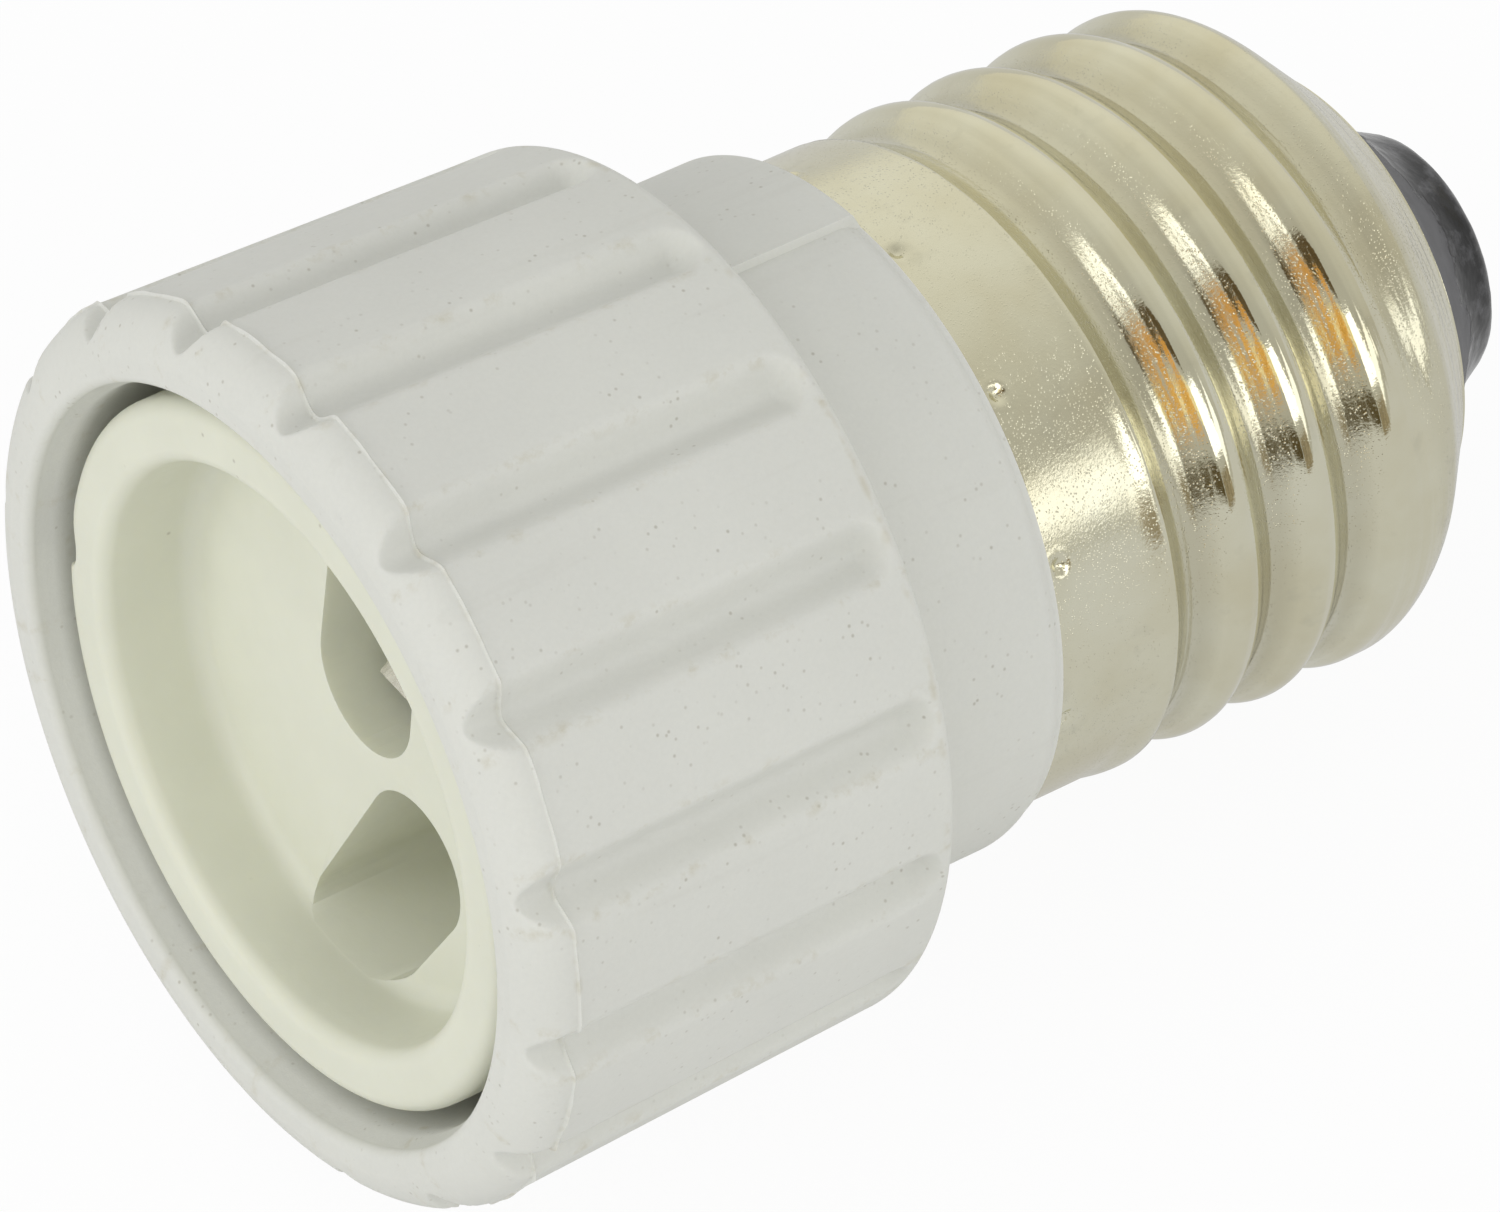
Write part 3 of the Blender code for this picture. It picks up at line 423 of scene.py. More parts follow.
def woven_sleeve():
    """Return a sleeve woven of fine glass yarn."""
    finishes = bpy.context.scene.adapter_finishes
    made = Nodes("woven_sleeve")
    yarn = Vector(finishes.sleeve)
    inputs = {"Vector": made.along_axis(), "Scale": 700.0, "Distortion": 1.5}
    weave = made.put("TexWave", inputs, wave_type="BANDS", bands_direction="DIAGONAL")["Fac"]
    return made.finish(made.mix(weave, yarn * 0.8, yarn), 0.75, made.bump(weave, 0.00005, 0.7))


def spin_profile(profile, sectors, steps, closed=True):
    """Spin (along, radius) points in millimetres about the adapter's axis, as one sector and its copies."""
    bm = bmesh.new()
    verts = [bm.verts.new((x * MM, radius * MM, 0.0)) for x, radius in profile]
    edges = [bm.edges.new(pair) for pair in zip(verts, verts[1:])]
    if closed:
        edges.append(bm.edges.new((verts[-1], verts[0])))
    about = {"cent": (0.0, 0.0, 0.0), "axis": (1.0, 0.0, 0.0)}
    bmesh.ops.spin(bm, geom=verts + edges, angle=math.tau / sectors, steps=steps, **about)
    loose = [edge for edge in bm.edges if not edge.link_faces]
    bmesh.ops.delete(bm, geom=loose, context="EDGES")
    sector = bm.verts[:] + bm.edges[:] + bm.faces[:]
    rest = sectors - 1
    bmesh.ops.spin(bm, geom=sector, angle=math.tau * rest / sectors, steps=rest, use_duplicate=True, **about)
    bmesh.ops.remove_doubles(bm, verts=bm.verts, dist=1e-7)
    bmesh.ops.recalc_face_normals(bm, faces=bm.faces)
    return bm


def polar(vert):
    """Return a vertex's distance along the axis, its radius and its angle."""
    return vert.co.x, math.hypot(vert.co.y, vert.co.z), math.atan2(vert.co.z, vert.co.y)


def set_radius(vert, radius, angle):
    """Move a vertex to a radius about the axis."""
    vert.co.y = radius * math.cos(angle)
    vert.co.z = radius * math.sin(angle)


def add_object(data):
    """Return a new object that shows a mesh, a lamp or a camera under the same name."""
    made = bpy.data.objects.new(data.name, data)
    bpy.context.collection.objects.link(made)
    return made


def make_object(bm, name):
    """Return a new object that takes over a bmesh."""
    mesh = bpy.data.meshes.new(name)
    bm.to_mesh(mesh)
    bm.free()
    return add_object(mesh)


def settle(bm, name, material, replaced, smooth):
    """Lay a piece with the adapter and hand it to the frame in place of a solid."""
    bmesh.ops.transform(bm, matrix=LAY, verts=bm.verts)
    piece = make_object(bm, name)
    piece.data.shade_smooth()
    piece.data.set_sharp_from_angle(angle=math.radians(smooth))
    piece.data.materials.append(material)
    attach(piece, BODY)
    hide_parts(replaced)


def ramp(value, low, high):
    """Return a smooth share between two values."""
    share = min(max((value - low) / (high - low), 0.0), 1.0)
    return share * share * (3.0 - 2.0 * share)


def soft_min(first, second, width):
    """Return the lesser of two values with a rounded change-over."""
    share = max(width - abs(first - second), 0.0) / width
    return min(first, second) - share * share * width * 0.25


def spread(start, end, count):
    """Return evenly spaced values from start to end, both included."""
    return [start + (end - start) * i / count for i in range(count + 1)]


def arc(along, radius, size, start, end, count):
    """Return points of an arc round a centre, in millimetres and degrees."""
    return [
        (along + size * math.cos(math.radians(a)), radius + size * math.sin(math.radians(a)))
        for a in spread(start, end, count)
    ]


def housing_profile(sizes):
    """Return the profile of the moulding, from the front face round to the mouth."""
    mm = 1.0 / MM
    bevel, front, rear = sizes.bevel * mm, sizes.grip_front * mm, sizes.grip_rear * mm
    grip, face, mouth = sizes.grip_length * mm, sizes.face * mm, sizes.mouth * mm
    upper, end = sizes.upper * mm, (sizes.grip_length + sizes.collar_length) * mm
    # Radii of the neck and of its waist, and the place of the step that the ceramic body rests on
    neck, waist, seat = 12.3, 11.6, 16.9
    points = []
    for step in spread(0.0, 1.0, 26):
        angle = math.radians(90.0) * step**1.15
        points.append((bevel * (1.0 - math.cos(angle)), face + (front - face) * math.sin(angle) ** 1.25))
    points = [p for p in points if p[0] < bevel - 0.14]
    for step in (-0.12, -0.07, -0.035, 0.0, 0.035, 0.07, 0.12):
        points.append((bevel + step, front + 0.02 * min(step, 0.0)))
    for x in spread(bevel + 0.5, grip - 2.0, 11) + spread(grip - 1.85, grip - 0.5, 13):
        points.append((x, front + (rear - front) * (x - bevel) / (grip - 0.5 - bevel)))
    points += arc(grip - 0.45, rear - 0.45, 0.45, 88.0, 5.0, 7)
    points += [(grip, r) for r in spread(rear - 0.55, upper + 0.35, 5)]
    points += arc(grip + 0.25, upper + 0.25, 0.25, 190.0, 270.0, 4)
    collar = spread(grip + 0.6, end - 1.3, 10) + spread(end - 1.2, end - 0.3, 9)
    points += [(x, upper) for x in collar]
    points += arc(end - 0.22, upper - 0.22, 0.22, 80.0, 0.0, 4)
    points += [(end, r) for r in spread(upper - 0.5, neck, 4)]
    points += [(end + 3.2, neck), (end + 3.6, waist), (end + 6.2, waist), (end + 6.2, 10.4)]
    points += [(end - 0.8, 10.4), (end - 1.6, waist), (18.9, waist), (18.9, 12.5)]
    points += [(seat, 12.5), (seat, sizes.seat * mm)]
    points += [(x, sizes.bore * mm - 0.35 * x / seat) for x in spread(15.0, 1.0, 14)]
    points += arc(0.42, mouth + 0.02, 0.42, 282.0, 188.0, 6)
    points += [(0.0, r) for r in spread(mouth + 0.1, face - 0.08, 3)]
    return points


class ADAPTER_OT_housing(bpy.types.Operator):
    """Mould the housing: fluted grip, stepped collar, neck and bore"""

    bl_idname = "adapter.housing"
    bl_label = "Housing"

    def flute(self, sizes, along, angle):
        """Return how far the flutes' section lies inside the panels."""
        pitch = math.tau / sizes.flute_count
        away = abs((angle + math.pi / 2 + pitch / 2) % pitch - pitch / 2) / sizes.flute_half
        if away >= 1.0:
            return 0.0
        runout = sizes.grip_length - 1.6 * MM
        into = max(along - runout, 0.0) / (1.1 * MM)
        away = math.hypot(away, 0.92 * into)
        if away >= 1.0:
            return 0.0
        return sizes.flute_depth * (0.5 + 0.5 * math.cos(math.pi * away)) ** 0.8

    def shape_grip(self, sizes, vert):
        """Cut the flutes into the grip and leave the mould's fine line at its bevel."""
        along, radius, angle = polar(vert)
        slope = (sizes.grip_front - sizes.grip_rear) / (sizes.grip_length - 0.5 * MM - sizes.bevel)
        panel = sizes.grip_front - slope * max(along - sizes.bevel, 0.0)
        depth = self.flute(sizes, along, angle)
        if along < sizes.bevel:
            target = soft_min(radius, panel - 1.08 * depth, 0.1 * MM) if depth > 0.0 else radius
        else:
            target = radius - depth
        near = max(1.0 - abs(along - sizes.bevel) / (0.08 * MM), 0.0)
        ragged = 0.75 + 0.8 * noise.noise(Vector((math.cos(angle), math.sin(angle), 0.3)) * 14.0)
        target += sizes.flash * near * max(ragged, 0.2)
        set_radius(vert, target, angle)

    def shape_collar(self, sizes, vert):
        """Lower one half of the collar and round its rear edge more."""
        along, radius, angle = polar(vert)
        since = (angle - sizes.parting) % math.tau
        if since > math.pi:
            ridge = math.exp(-(((since - math.tau) / math.radians(0.6)) ** 2)) * 0.05 * MM
            set_radius(vert, radius + ridge * (radius > sizes.upper - 0.05 * MM), angle)
            return
        end = sizes.grip_length + sizes.collar_length
        into = max(along - (end - 0.86 * MM), 0.0)
        limit = sizes.lower - 1.2 * MM + math.sqrt(max((1.2 * MM) ** 2 - into**2, 0.0))
        share = 1.0 - ramp(sizes.grip_length + 0.5 * MM - along, 0.0, 0.4 * MM)
        set_radius(vert, radius + (min(radius, limit) - radius) * share, angle)
        if along > end - 0.02 * MM and radius > 12.7 * MM:
            vert.co.x = end + 0.2 * MM

    def execute(self, context):
        """Build the housing in place of its solid."""
        sizes = context.scene.adapter_housing
        bm = spin_profile(housing_profile(sizes), sizes.flute_count, 34)
        sector = math.tau / sizes.flute_count
        collar_start = sizes.grip_length + 0.02 * MM
        collar_end = sizes.grip_length + sizes.collar_length + 0.05 * MM
        for vert in bm.verts:
            along, radius, angle = polar(vert)
            away = (angle + sector / 2) % sector - sector / 2
            share = abs(away) / (sector / 2)
            angle += math.copysign(sector / 2 * (0.6 * share + 0.4 * share**3), away) - away
            set_radius(vert, radius, angle)
            if collar_start < along < collar_end and radius > 12.2 * MM:
                self.shape_collar(sizes, vert)
            elif radius > sizes.face - 0.05 * MM and along <= sizes.grip_length:
                self.shape_grip(sizes, vert)
        settle(bm, "moulded_housing", moulded_plastic(), "housing", 38.0)
        return {"FINISHED"}


class ADAPTER_OT_ceramic(bpy.types.Operator):
    """Press the ceramic body: rim, cup, pockets and keyway"""

    bl_idname = "adapter.ceramic"
    bl_label = "Ceramic body"

    # Each pocket's centre across the cup, in millimetres, and the angle of its channel in degrees
    pockets = (((0.2, 1.65), 91.0), ((-3.5, -4.3), -64.5))

    def keyway(self, degrees):
        """Return the share of the keyway's depth at an angle."""
        away = (degrees + 180.0) % 360.0 - 180.0
        if -3.5 <= away <= 8.0:
            return ramp(8.0 - away, 0.0, 9.5) ** 0.7
        if -6.6 <= away < -3.5:
            return ramp(away + 6.6, 0.0, 3.1)
        return 0.0

    def profile(self, sizes):
        """Return the profile from the back round the rim to the centre of the floor."""
        mm = 1.0 / MM
        front, rounding = sizes.setback * mm, sizes.rounding * mm
        outer, cup, floor, back = sizes.radius * mm, sizes.cup * mm, sizes.floor * mm, sizes.back * mm
        points = [(back, 0.0), (back, outer - 0.4), (back - 0.4, outer)]
        points += [(x, outer) for x in spread(back - 1.5, front + rounding + 0.4, 12)]
        points += arc(front + rounding, outer - rounding, rounding, 90.0, 180.0, 9)
        points += [(front, r) for r in spread(outer - rounding - 0.15, cup + rounding + 0.15, 3)]
        points += arc(front + rounding, cup + rounding, rounding, 180.0, 270.0, 9)
        points += [(x, cup - 0.04 * (x - front)) for x in spread(front + rounding + 0.3, floor - 1.05, 7)]
        points += arc(floor - 0.9, cup - 1.03, 0.9, 87.0, 0.0, 12)
        return points + [(floor, 0.0)]

    def corner(self, start, point, end):
        """Return the points of a rounded corner."""
        return [start.lerp(point, t).lerp(point.lerp(end, t), t) for t in spread(0.0, 1.0, 7)]

    def pocket(self, sizes, place, degrees):
        """Return a cutter for one pocket: a round end and a channel out to the cup's wall."""
        # The cutter starts a little in front of the cup's floor
        ahead_of_floor = 1.4 * MM
        centre = Vector((0.0, place[0] * MM, place[1] * MM))
        course = math.radians(degrees)
        ahead = Vector((0.0, math.cos(course), math.sin(course)))
        aside = Vector((0.0, -ahead.z, ahead.y))
        radius, wall = sizes.pocket, sizes.cup - 0.15 * MM
        outline = []
        for angle in spread(90.0, 270.0, 24):
            offset = ahead * math.cos(math.radians(angle)) + aside * math.sin(math.radians(angle))
            outline.append(centre + offset * radius)
        ends = []
        for side in (-1.0, 1.0):
            start = centre + aside * side * (radius - 0.15 * MM)
            along = start.dot(ahead)
            ends.append(start + ahead * (math.sqrt(along**2 + wall**2 - start.length_squared) - along))
        first, last = (math.atan2(point.z, point.y) for point in ends)
        last = first + (last - first) % math.tau
        turned = sizes.pocket_corner / wall
        between = spread(first + turned, last - turned, 12)
        rim = [Vector((0.0, wall * math.cos(angle), wall * math.sin(angle))) for angle in between]
        outline += self.corner(ends[0] - ahead * sizes.pocket_corner, ends[0], rim[0]) + rim[1:-1]
        outline += self.corner(rim[-1], ends[1], ends[1] - ahead * sizes.pocket_corner)
        bm = bmesh.new()
        lifted = Vector((sizes.floor - ahead_of_floor, 0.0, 0.0))
        face = bm.faces.new([bm.verts.new(point + lifted) for point in outline])
        made = bmesh.ops.extrude_face_region(bm, geom=[face])
        moved = [item for item in made["geom"] if isinstance(item, bmesh.types.BMVert)]
        deep = sizes.pocket_floor - sizes.floor + ahead_of_floor
        bmesh.ops.translate(bm, verts=moved, vec=(deep, 0.0, 0.0))
        bmesh.ops.recalc_face_normals(bm, faces=bm.faces)
        return make_object(bm, "pocket")

    def soften(self, sizes, bm):
        """Round the edge of the pockets on the floor."""
        edges = []
        for edge in bm.edges:
            flat = all(abs(vert.co.x - sizes.floor) < 1e-6 for vert in edge.verts)
            inside = all(math.hypot(vert.co.y, vert.co.z) < sizes.cup - 1.06 * MM for vert in edge.verts)
            if flat and inside and len(edge.link_faces) == 2 and edge.calc_face_angle(0.0) > 1.0:
                edges.append(edge)
        bmesh.ops.bevel(
            bm,
            geom=edges,
            offset=sizes.pocket_edge,
            affect="EDGES",
            segments=4,
            profile=0.5,
            material=-1,
            clamp_overlap=True,
        )

    def execute(self, context):
        """Build the ceramic body in place of its solid."""
        sizes = context.scene.adapter_ceramic
        bm = spin_profile(self.profile(sizes), 16, 16, closed=False)
        for vert in bm.verts:
            along, radius, angle = polar(vert)
            cut = sizes.keyway * self.keyway(math.degrees(angle))
            if cut > 0.0 and radius > sizes.radius - sizes.keyway - 0.1 * MM:
                set_radius(vert, soft_min(radius, sizes.radius - cut, 0.15 * MM), angle)
        body = make_object(bm, "ceramic")
        cutters = [self.pocket(sizes, place, degrees) for place, degrees in self.pockets]
        for cutter in cutters:
            modifier = body.modifiers.new("pocket", "BOOLEAN")
            modifier.operation = "DIFFERENCE"
            modifier.solver = "EXACT"
            modifier.object = cutter
        context.view_layer.update()
        cut_mesh = bpy.data.meshes.new_from_object(body.evaluated_get(context.evaluated_depsgraph_get()))
        bm = bmesh.new()
        bm.from_mesh(cut_mesh)
        for unused in (body, *cutters):
            bpy.data.objects.remove(unused)
        self.soften(sizes, bm)
        settle(bm, "pressed_ceramic", porcelain(), "ceramic_body", 35.0)
        return {"FINISHED"}


class ADAPTER_OT_shell(bpy.types.Operator):
    """Roll the screw shell: skirt with punch marks, thread and shoulder"""

    bl_idname = "adapter.shell"
    bl_label = "Screw shell"

    def radius(self, sizes, along):
        """Return the outer radius without the thread."""
        rise = ramp(along, sizes.thread, sizes.thread + 1.5 * MM)
        radius = sizes.skirt + (sizes.crest - sizes.skirt) * rise
        cone = sizes.end_radius + (sizes.end - along) * (sizes.crest - sizes.end_radius) / sizes.shoulder
        return soft_min(radius, cone, sizes.rounding)

    def groove(self, sizes, along, angle):
        """Return the depth of the thread's groove at a place."""
        first = sizes.thread - sizes.pitch / 2
        part = ((angle - sizes.thread_angle) / math.tau) % 1.0
        climb = (along - first) / sizes.pitch - part
        turns = part + math.floor(climb)
        across = climb - math.floor(climb)
        fade = ramp(min(turns, sizes.turns - turns), 0.0, 0.4)
        form = 0.5 * (1.0 - math.cos(math.tau * across))
        if turns < 1.0 and across < 0.5:
            form = 1.0 - (1.0 - max(across - 0.08, 0.0) / 0.42) ** 2.0
        return sizes.depth * fade * form

    def punch(self, sizes, along, angle):
        """Return the depth of the punch marks at a place."""
        pitch = math.tau / sizes.punches
        since = (angle - sizes.punch_angle + pitch / 2) % pitch - pitch / 2
        away = math.hypot(since * sizes.skirt, along - sizes.start - sizes.punch_place)
        dent = math.exp(-((away / (0.26 * MM)) ** 2))
        lip = math.exp(-(((away - 0.5 * MM) / (0.14 * MM)) ** 2))
        return sizes.punch_depth * dent - 0.03 * MM * lip

    def profile(self, sizes):
        """Return the profile of the sheet, out along its outside and back along its inside."""
        start, thread, end = sizes.start, sizes.thread, sizes.end
        stations = spread(start + 0.1 * MM, start + 1.5 * MM, 14)
        stations += spread(start + 1.8 * MM, thread - 2.0 * MM, 4)
        stations += spread(thread - 1.85 * MM, end - 2.0 * MM, 112)
        stations += spread(end - 1.8 * MM, end - 0.05 * MM, 8)
        outer = [(x, self.radius(sizes, x)) for x in stations] + [(end, sizes.end_radius + 0.05 * MM)]
        inner = []
        for x, radius in reversed(outer[::5]):
            slope = (self.radius(sizes, x + 0.02 * MM) - self.radius(sizes, x - 0.02 * MM)) / (0.04 * MM)
            tip = math.hypot(1.0, slope)
            inner.append((x + sizes.sheet * slope / tip, radius - sizes.sheet / tip))
        inner[0] = (end - sizes.sheet, sizes.end_radius - 0.05 * MM)
        rim = [(start + 0.03 * MM, sizes.skirt - 0.02 * MM)]
        lip = [(end - 0.02 * MM, sizes.end_radius), (end - 0.12 * MM, sizes.end_radius - 0.1 * MM)]
        back = [(start, sizes.skirt - sizes.sheet + 0.03 * MM), (start, sizes.skirt - 0.05 * MM)]
        return [(x / MM, r / MM) for x, r in rim + outer + lip + inner + back]

    def execute(self, context):
        """Build the shell in place of its solid."""
        sizes = context.scene.adapter_shell
        bm = spin_profile(self.profile(sizes), 16, 34)
        for vert in bm.verts:
            along, radius, angle = polar(vert)
            depth = self.groove(sizes, along, angle)
            if along < sizes.start + 2.0 * MM:
                depth += self.punch(sizes, along, angle)
            wave = noise.noise(Vector((along, vert.co.y, vert.co.z)) * 260.0) * 0.02 * MM
            set_radius(vert, radius - depth + wave, angle)
        settle(bm, "rolled_shell", nickel_plate(), "screw_shell", 60.0)
        return {"FINISHED"}


class ADAPTER_OT_tip(bpy.types.Operator):
    """Fuse the black insulator and press the centre contact with its solder"""

    bl_idname = "adapter.tip"
    bl_label = "Insulator and contact"

    def insulator(self, shell, sizes):
        """Build the insulator with its uneven fused face."""
        end, top = shell.end / MM, (shell.end + sizes.height) / MM
        edge = sizes.radius / MM
        flank = [(-2.5, 6.8), (-2.5, 9.6), (-2.0, 10.1), (-1.62, 10.1), (0.0, 8.37), (0.3, 8.8), (0.5, 8.48)]
        flank += [(1.5, 7.35), (2.5, 6.3), (3.1, 5.85), (3.7, 5.5), (4.3, edge + 0.2), (4.75, edge)]
        outline = [(end + x, radius) for x, radius in flank]
        outline += [(top - 0.04, edge - 0.35), (top, 3.6), (top, 1.9), (top - 1.6, 1.9), (top - 1.6, 3.2)]
        outline.append((end + 1.0, 4.8))
        fine = []
        for (x0, r0), (x1, r1) in zip(outline, outline[1:] + outline[:1]):
            count = max(int(math.hypot(x1 - x0, r1 - r0) / 0.22), 1)
            fine += [(x0 + (x1 - x0) * i / count, r0 + (r1 - r0) * i / count) for i in range(count)]
        bm = spin_profile(fine, 8, 24)
        seen_from = shell.end + 0.3 * MM
        for _ in range(2):
            outside = [vert for vert in bm.verts if vert.co.x > seen_from]
            axes = {"use_axis_x": True, "use_axis_y": True, "use_axis_z": True}
            bmesh.ops.smooth_vert(bm, verts=outside, factor=0.5, **axes)
        for vert in bm.verts:
            if vert.co.x > seen_from:
                swell = noise.noise(vert.co * 700.0) * 0.05 * MM + noise.noise(vert.co * 2100.0) * 0.015 * MM
                along, radius, angle = polar(vert)
                vert.co.x -= abs(swell) * 0.6
                set_radius(vert, radius + min(swell, 0.0), angle)
                share = ramp(along, shell.end, shell.end + 1.2 * MM)
                vert.co.y -= 0.64 * sizes.lean * share
                vert.co.z -= 0.77 * sizes.lean * share
        settle(bm, "fused_insulator", black_glass(), "tip_insulator", 50.0)

    def contact(self, shell, sizes):
        """Build the pressed contact with a rolled edge and a dished centre."""
        base = (shell.end + sizes.height) / MM + 0.05
        radius, height = sizes.contact / MM, sizes.contact_height / MM
        points = [(base - 2.4, 0.8), (base - 2.4, 1.6), (base, 1.6), (base, radius - 0.12)]
        points += arc(base + 0.14, radius - 0.14, 0.14, 250.0, 340.0, 3)
        points += [(base + 0.3, radius - 0.04), (base + 0.45, radius - 0.3), (base + 0.58, radius - 0.8)]
        points += [(base + 0.7, radius - 1.4), (base + height - 0.02, radius - 1.8), (base + height, 1.55)]
        points += [(base + height, 1.15), (base + height - 0.12, 0.95), (base + height - 0.4, 0.82)]
        bm = spin_profile(points, 8, 12)
        settle(bm, "pressed_contact", nickel_plate(), "centre_contact", 50.0)

    def solder(self, shell, sizes):
        """Build the uneven beads of solder at the contact and at the shell."""
        tip = shell.end + sizes.height + sizes.contact_height - 0.05 * MM
        # Each bead's name, its solid, its centre, its radius and how far it is flattened along the axis
        beads = [
            ("contact_bead", "centre_solder", (tip, 0.0, 0.0), 1.15 * MM, 0.36),
            ("shell_bead", "shell_solder", (0.03635, 0.0, 0.0107), 0.88 * MM, 1.0),
        ]
        finishes = bpy.context.scene.adapter_finishes
        for name, node, place, size, squash in beads:
            bm = bmesh.new()
            bmesh.ops.create_icosphere(bm, subdivisions=4, radius=size)
            for vert in bm.verts:
                vert.co *= 1.0 - 0.1 * abs(noise.noise(vert.co * 2600.0))
            bmesh.ops.scale(bm, vec=(squash, 1.0, 1.0), verts=bm.verts)
            bmesh.ops.translate(bm, vec=place, verts=bm.verts)
            material = worked_metal(f"{name}_solder", finishes.solder, 0.3, 0.45)
            settle(bm, name, material, node, 60.0)

    def execute(self, context):
        """Build the tip's pieces in place of their solids."""
        shell, sizes = context.scene.adapter_shell, context.scene.adapter_tip
        self.insulator(shell, sizes)
        self.contact(shell, sizes)
        self.solder(shell, sizes)
        return {"FINISHED"}


class ADAPTER_OT_inside(bpy.types.Operator):
    """Give the springs, rivets, terminals, leads and plate their finishes"""

    bl_idname = "adapter.inside"
    bl_label = "Inner pieces"

    def execute(self, context):
        """Dress the solids that stay."""
        finishes = context.scene.adapter_finishes
        bronze = worked_metal("plated_bronze", finishes.bronze, 0.2, 0.32)
        copper = worked_metal("bare_copper", finishes.copper, 0.25, 0.4)
        sleeve = woven_sleeve()
        plate = porcelain()
        dressed = {"back_plate": plate}
        for side in ("live", "neutral"):
            for part in ("spring", "rivet", "terminal"):
                dressed[f"{side}_{part}"] = bronze
            dressed[f"{side}_conductor"] = copper
            dressed[f"{side}_sleeve"] = sleeve
        for name, material in dressed.items():
            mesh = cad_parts[name].data
            mesh.materials.clear()
            mesh.materials.append(material)
        return {"FINISHED"}


class ADAPTER_OT_stage(bpy.types.Operator):
    """Set the floor, the lamps, the cards that the metal mirrors and the camera"""

    bl_idname = "adapter.stage"
    bl_label = "Stage"

    def floor(self):
        """Lay a pale floor that keeps a soft shadow and looks white to the camera."""
        bm = bmesh.new()
        bmesh.ops.create_grid(bm, x_segments=8, y_segments=8, size=3.0)
        floor = make_object(bm, "floor")
        material = bpy.data.materials.new("pale_floor")
        tree = open_tree(material)
        rays = put(tree, "LightPath")
        glossy, straight = rays["Is Glossy Ray"], rays["Is Camera Ray"]
        # The camera sees 94 % glow over the paint; the metal mirrors 80 % glow, and that 36 % duller
        duller = put(tree, "Math", {0: glossy, 1: -0.36, 2: 1.0}, operation="MULTIPLY_ADD")["Value"]
        mirrored = put(tree, "Math", {0: glossy, 1: 0.8}, operation="MULTIPLY")["Value"]
        shares = {0: straight, 1: 0.94, 2: mirrored}
        share = put(tree, "Math", shares, operation="MULTIPLY_ADD")["Value"]
        paint = put(tree, "BsdfDiffuse", {"Color": (0.86, 0.86, 0.86, 1.0)})["BSDF"]
        glow = put(tree, "Emission", {"Strength": duller})["Emission"]
        mixed = put(tree, "MixShader", {"Fac": share, 1: paint, 2: glow})["Shader"]
        put(tree, "OutputMaterial", {"Surface": mixed})
        floor.data.materials.append(material)

    def world(self):
        """Light the adapter evenly, with duller surroundings for the metal, palest behind the adapter."""
        world = bpy.data.worlds.new("studio")
        bpy.context.scene.world = world
        tree = open_tree(world)
        rays = put(tree, "LightPath")
        place = put(tree, "TexCoord")["Generated"]
        # The direction past the adapter and upwards, where the metal's surroundings are palest
        towards = {0: place, 1: (0.45, 0.78, 0.42)}
        behind = put(tree, "VectorMath", towards, operation="DOT_PRODUCT")["Value"]
        span = {"Value": behind, "From Min": 0.0, "From Max": 1.0, "To Min": 0.52, "To Max": 0.84}
        dull = put(tree, "MapRange", span)["Result"]
        tinted = {"Color": (1.0, 0.98, 0.90, 1.0), "Strength": dull}
        mirrored = put(tree, "Background", tinted)["Background"]
        light = put(tree, "Background", {"Strength": 0.9})["Background"]
        seen = put(tree, "Background", {"Strength": 1.0})["Background"]
        glossy, straight = rays["Is Glossy Ray"], rays["Is Camera Ray"]
        unseen = put(tree, "MixShader", {"Fac": glossy, 1: light, 2: mirrored})["Shader"]
        mixed = put(tree, "MixShader", {"Fac": straight, 1: unseen, 2: seen})["Shader"]
        put(tree, "OutputWorld", {"Surface": mixed})

    def stand(self, azimuth, height):
        """Return the place at a compass angle and a height angle, in degrees, at the studio's distance."""
        turned = Euler((0.0, math.radians(-height), math.radians(azimuth))).to_matrix()
        return turned @ Vector((STUDIO_DISTANCE, 0.0, 0.0)) + ADAPTER_MIDDLE

    def lamp(self, name, azimuth, height, size, glow):
        """Hang one soft lamp that points at the adapter and glows with a given strength."""
        data = bpy.data.lights.new(name, "AREA")
        data.shape = "RECTANGLE"
        data.size, data.size_y = size
        data.energy = math.pi * size[0] * size[1] * glow
        lamp = add_object(data)
        lamp.location = self.stand(azimuth, height)
        lamp.rotation_euler = (ADAPTER_MIDDLE - lamp.location).to_track_quat("-Z", "Y").to_euler()
        lamp.visible_camera = False

    def card(self, name, azimuth, height, size, tint):
        """Stand a card for the metal to mirror, unseen by the camera and by the soft light."""
        bm = bmesh.new()
        bmesh.ops.create_grid(bm, x_segments=1, y_segments=1, size=0.5)
        bmesh.ops.scale(bm, vec=(size[0], size[1], 1.0), verts=bm.verts)
        stand = self.stand(azimuth, height)
        turned = (stand - ADAPTER_MIDDLE).to_track_quat("Z", "Y").to_matrix().to_4x4()
        bmesh.ops.transform(bm, matrix=Matrix.Translation(stand) @ turned, verts=bm.verts)
        card = make_object(bm, name)
        material = bpy.data.materials.new(name)
        tree = open_tree(material)
        place = put(tree, "TexCoord")["Object"]
        uneven = put(tree, "TexNoise", {"Vector": place, "Scale": 24.0})["Fac"]
        span = {"Value": uneven, "From Min": 0.35, "From Max": 0.65, "To Min": 0.45, "To Max": 1.25}
        strength = put(tree, "MapRange", span)["Result"]
        glow = put(tree, "Emission", {"Color": (*tint, 1.0), "Strength": strength})["Emission"]
        put(tree, "OutputMaterial", {"Surface": glow})
        card.data.materials.append(material)
        card.visible_camera = False
        card.visible_diffuse = False
        card.visible_shadow = False

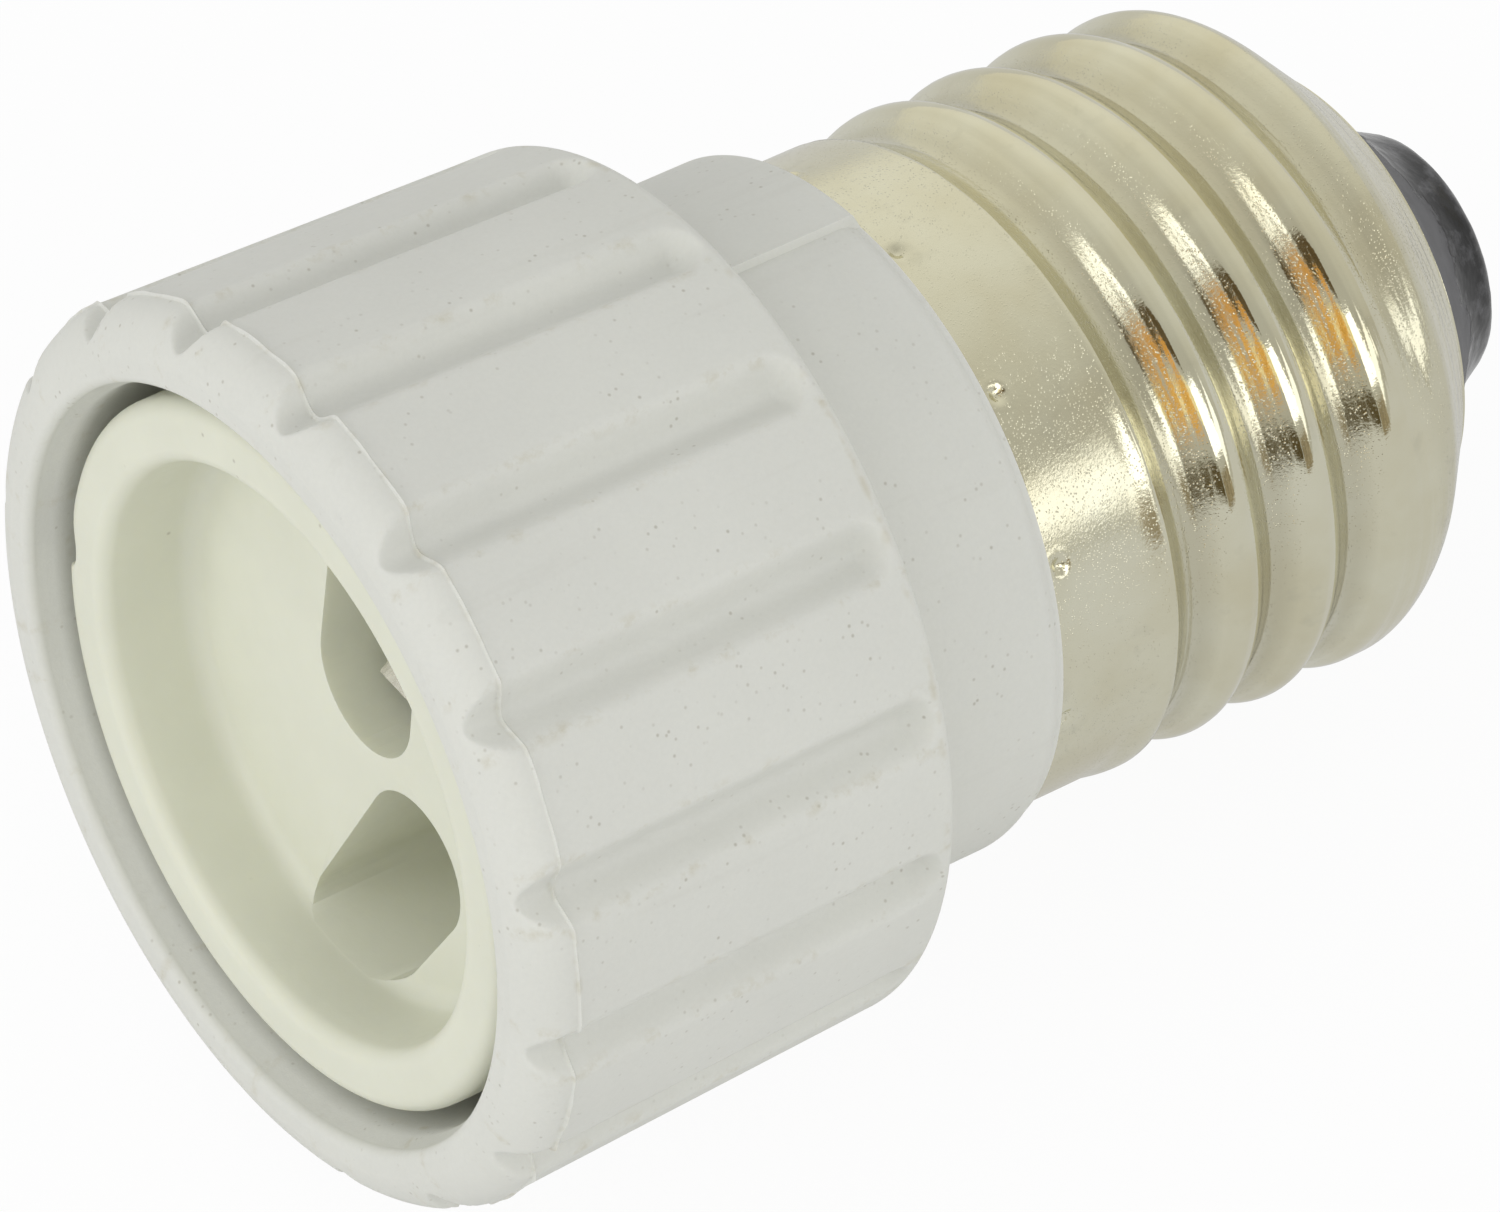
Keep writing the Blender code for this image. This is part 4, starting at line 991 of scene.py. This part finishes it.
    def camera(self):
        """Put the camera where the photograph was taken from."""
        data = bpy.data.cameras.new("camera")
        data.lens = CAMERA_LENS
        data.sensor_width = CAMERA_SENSOR
        data.sensor_fit = "HORIZONTAL"
        data.clip_start = 0.01
        data.clip_end = 20.0
        camera = add_object(data)
        look = CAMERA_LOOK.normalized()
        right = look.cross(CAMERA_UP).normalized()
        up = right.cross(look)
        turned = Matrix((right, up, -look)).transposed().to_4x4()
        camera.matrix_world = LAY @ Matrix.Translation(CAMERA_PLACE * MM) @ turned
        bpy.context.scene.camera = camera

    def execute(self, context):
        """Build the stage."""
        self.floor()
        self.world()
        for lamp in LAMPS:
            self.lamp(*lamp)
        for card in CARDS:
            self.card(*card)
        self.camera()
        context.scene.view_settings.view_transform = "Standard"
        return {"FINISHED"}


class ADAPTER_PT_panel(bpy.types.Panel):
    """List the adapter's pieces and sizes in the sidebar."""

    bl_label = "Lamp socket adapter"
    bl_idname = "ADAPTER_PT_panel"
    bl_space_type = "VIEW_3D"
    bl_region_type = "UI"
    bl_category = "Adapter"

    def draw(self, context):
        """Draw the buttons and the sizes."""
        for operator in OPERATORS:
            self.layout.operator(operator.bl_idname)
        for key in GROUPS:
            box = self.layout.box()
            group = getattr(context.scene, key)
            for name in group.__annotations__:
                box.prop(group, name)


GROUPS = {
    "adapter_housing": HousingSizes,
    "adapter_ceramic": CeramicSizes,
    "adapter_shell": ShellSizes,
    "adapter_tip": TipSizes,
    "adapter_finishes": Finishes,
}
OPERATORS = (
    ADAPTER_OT_housing,
    ADAPTER_OT_ceramic,
    ADAPTER_OT_shell,
    ADAPTER_OT_tip,
    ADAPTER_OT_inside,
    ADAPTER_OT_stage,
)


def register():
    """Register the classes and hang the property groups on the scene."""
    for group in GROUPS.values():
        bpy.utils.register_class(group)
    for key, group in GROUPS.items():
        setattr(bpy.types.Scene, key, bpy.props.PointerProperty(type=group))
    for operator in OPERATORS:
        bpy.utils.register_class(operator)
    bpy.utils.register_class(ADAPTER_PT_panel)


def unregister():
    """Remove the property groups and the classes."""
    bpy.utils.unregister_class(ADAPTER_PT_panel)
    for operator in reversed(OPERATORS):
        bpy.utils.unregister_class(operator)
    for key in GROUPS:
        delattr(bpy.types.Scene, key)
    for group in reversed(list(GROUPS.values())):
        bpy.utils.unregister_class(group)


def main():
    """Build every piece and the stage."""
    register()
    bpy.ops.adapter.housing()
    bpy.ops.adapter.ceramic()
    bpy.ops.adapter.shell()
    bpy.ops.adapter.tip()
    bpy.ops.adapter.inside()
    bpy.ops.adapter.stage()


if __name__ == "__main__":
    main()
